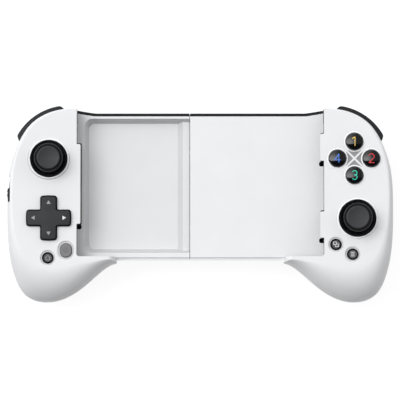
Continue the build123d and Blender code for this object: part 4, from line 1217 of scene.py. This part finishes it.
def make_view():
    """The camera: from the front, a little below the square view, and far away."""
    elevation = radians(VIEW_ELEVATION)
    data = bpy.data.cameras.new("camera")
    data.lens = SENSOR * VIEW_DISTANCE / VIEW_WIDTH
    data.sensor_width = SENSOR
    data.clip_start = 0.1
    camera = staged("camera", data)
    camera.location = VIEW_CENTRE + VIEW_DISTANCE * Vector((0, -cos(elevation), sin(elevation)))
    camera.rotation_euler = (pi / 2 - elevation, 0, 0)
    bpy.context.scene.camera = camera


def make_floor():
    """A pale floor that keeps the object's shadow, and looks white to the camera and in gloss."""
    r, z = FLOOR_HALF, FLOOR_LEVEL
    mesh = mesh_of([(-r, -r, z), (r, -r, z), (r, r, z), (-r, r, z)], [[0, 1, 2, 3]])
    floor = staged("floor", mesh)
    material = bpy.data.materials.new("floor")
    tree = new_tree(material)
    shader = tree.nodes["Principled BSDF"]
    tone = (FLOOR_TONE, FLOOR_TONE, FLOOR_TONE, 1)
    fill(shader, {"Base Color": tone, "Roughness": 0.9, "Specular IOR Level": 0.0})
    path = add_node(tree, "LightPath")
    seen = maths(tree, "MAXIMUM", path.outputs["Is Camera Ray"], path.outputs["Is Glossy Ray"])
    seen = maths(tree, "MAXIMUM", seen, path.outputs["Is Transmission Ray"])
    glow = add_node(tree, "Emission")
    link(tree, maths(tree, "MULTIPLY", seen, FLOOR_GLOW), glow.inputs["Strength"])
    add = add_node(tree, "AddShader")
    link(tree, shader.outputs[0], add.inputs[0])
    link(tree, glow.outputs[0], add.inputs[1])
    link(tree, add.outputs[0], tree.nodes["Material Output"].inputs["Surface"])
    mesh.materials.append(material)


def mixed(tree, share, start, end):
    """From start to end as the share goes from 0 to 1."""
    return maths(tree, "ADD", start, maths(tree, "MULTIPLY", share, maths(tree, "SUBTRACT", end, start)))


def room_light(tree, x, y, z):
    """Soft light from all round, stronger from the upper left, and darker on the viewer's side."""
    leftward = soft_step(tree, maths(tree, "MULTIPLY", x, -1.0), *LEFT_BAND)
    upper_left = maths(tree, "MULTIPLY", leftward, soft_step(tree, z, *HIGH_BAND))
    bright = maths(tree, "ADD", maths(tree, "MULTIPLY", upper_left, SKY_LEFT), SKY_DOME)
    low_down = maths(tree, "SUBTRACT", 1.0, soft_step(tree, z, *LOW_BAND))
    dark = maths(tree, "ADD", maths(tree, "MULTIPLY", low_down, SKY_LOW), SKY_DARK)
    return mixed(tree, soft_step(tree, y, *VIEWER_BAND), dark, bright)


def gloss_light(tree, x, y):
    """What shiny surfaces see: a soft panel on the left that fades upwards, over a dark horizon."""
    across = soft_step(tree, maths(tree, "MULTIPLY", x, -1.0), *PANEL_BAND)
    faded = maths(tree, "MULTIPLY", soft_step(tree, y, *PANEL_FADE), PANEL_FADES_BY)
    fade = maths(tree, "SUBTRACT", 1.0, faded)
    panel = maths(tree, "MULTIPLY", maths(tree, "MULTIPLY", across, fade), GLOSS_PANEL)
    over = maths(tree, "ADD", panel, GLOSS_DOME - GLOSS_DARK)
    above = soft_step(tree, y, *HORIZON_BAND)
    return maths(tree, "ADD", maths(tree, "MULTIPLY", above, over), GLOSS_DARK)


def make_sky():
    """The world: soft light on everything, and a panel that only shiny surfaces see."""
    world = bpy.data.worlds.new("studio")
    tree = new_tree(world)
    bpy.context.scene.world = world
    background = tree.nodes["Background"]
    background.inputs["Color"].default_value = (1, 1, 1, 1)
    parts = add_node(tree, "SeparateXYZ")
    link(tree, add_node(tree, "TexCoord").outputs["Generated"], parts.inputs["Vector"])
    x, y, z = (parts.outputs[axis] for axis in "XYZ")
    glossy = add_node(tree, "LightPath").outputs["Is Glossy Ray"]
    light = mixed(tree, glossy, room_light(tree, x, y, z), gloss_light(tree, x, y))
    link(tree, light, background.inputs["Strength"])


def add_key_light():
    """A wide soft light from the upper left, the same over the whole object, which gloss doesn't show."""
    data = bpy.data.lights.new("key", "SUN")
    data.energy = KEY_LIGHT
    data.angle = radians(KEY_SPREAD)
    lamp = staged("key", data)
    lamp.visible_glossy = False
    lamp.rotation_euler = (-Vector(KEY_FROM)).to_track_quat("-Z", "Y").to_euler()


make_view()
make_floor()
make_sky()
add_key_light()
for side in (-1, 1):
    make_front_shell(side)
    make_cover(side)
    make_stick(side)
    make_bumper(side)
make_seam_lip()
make_ribbon()
make_switch()
make_keys()
make_small_buttons()
make_capture_button()
make_dpad()
dress_cad()
bpy.context.scene.view_settings.view_transform = "Standard"
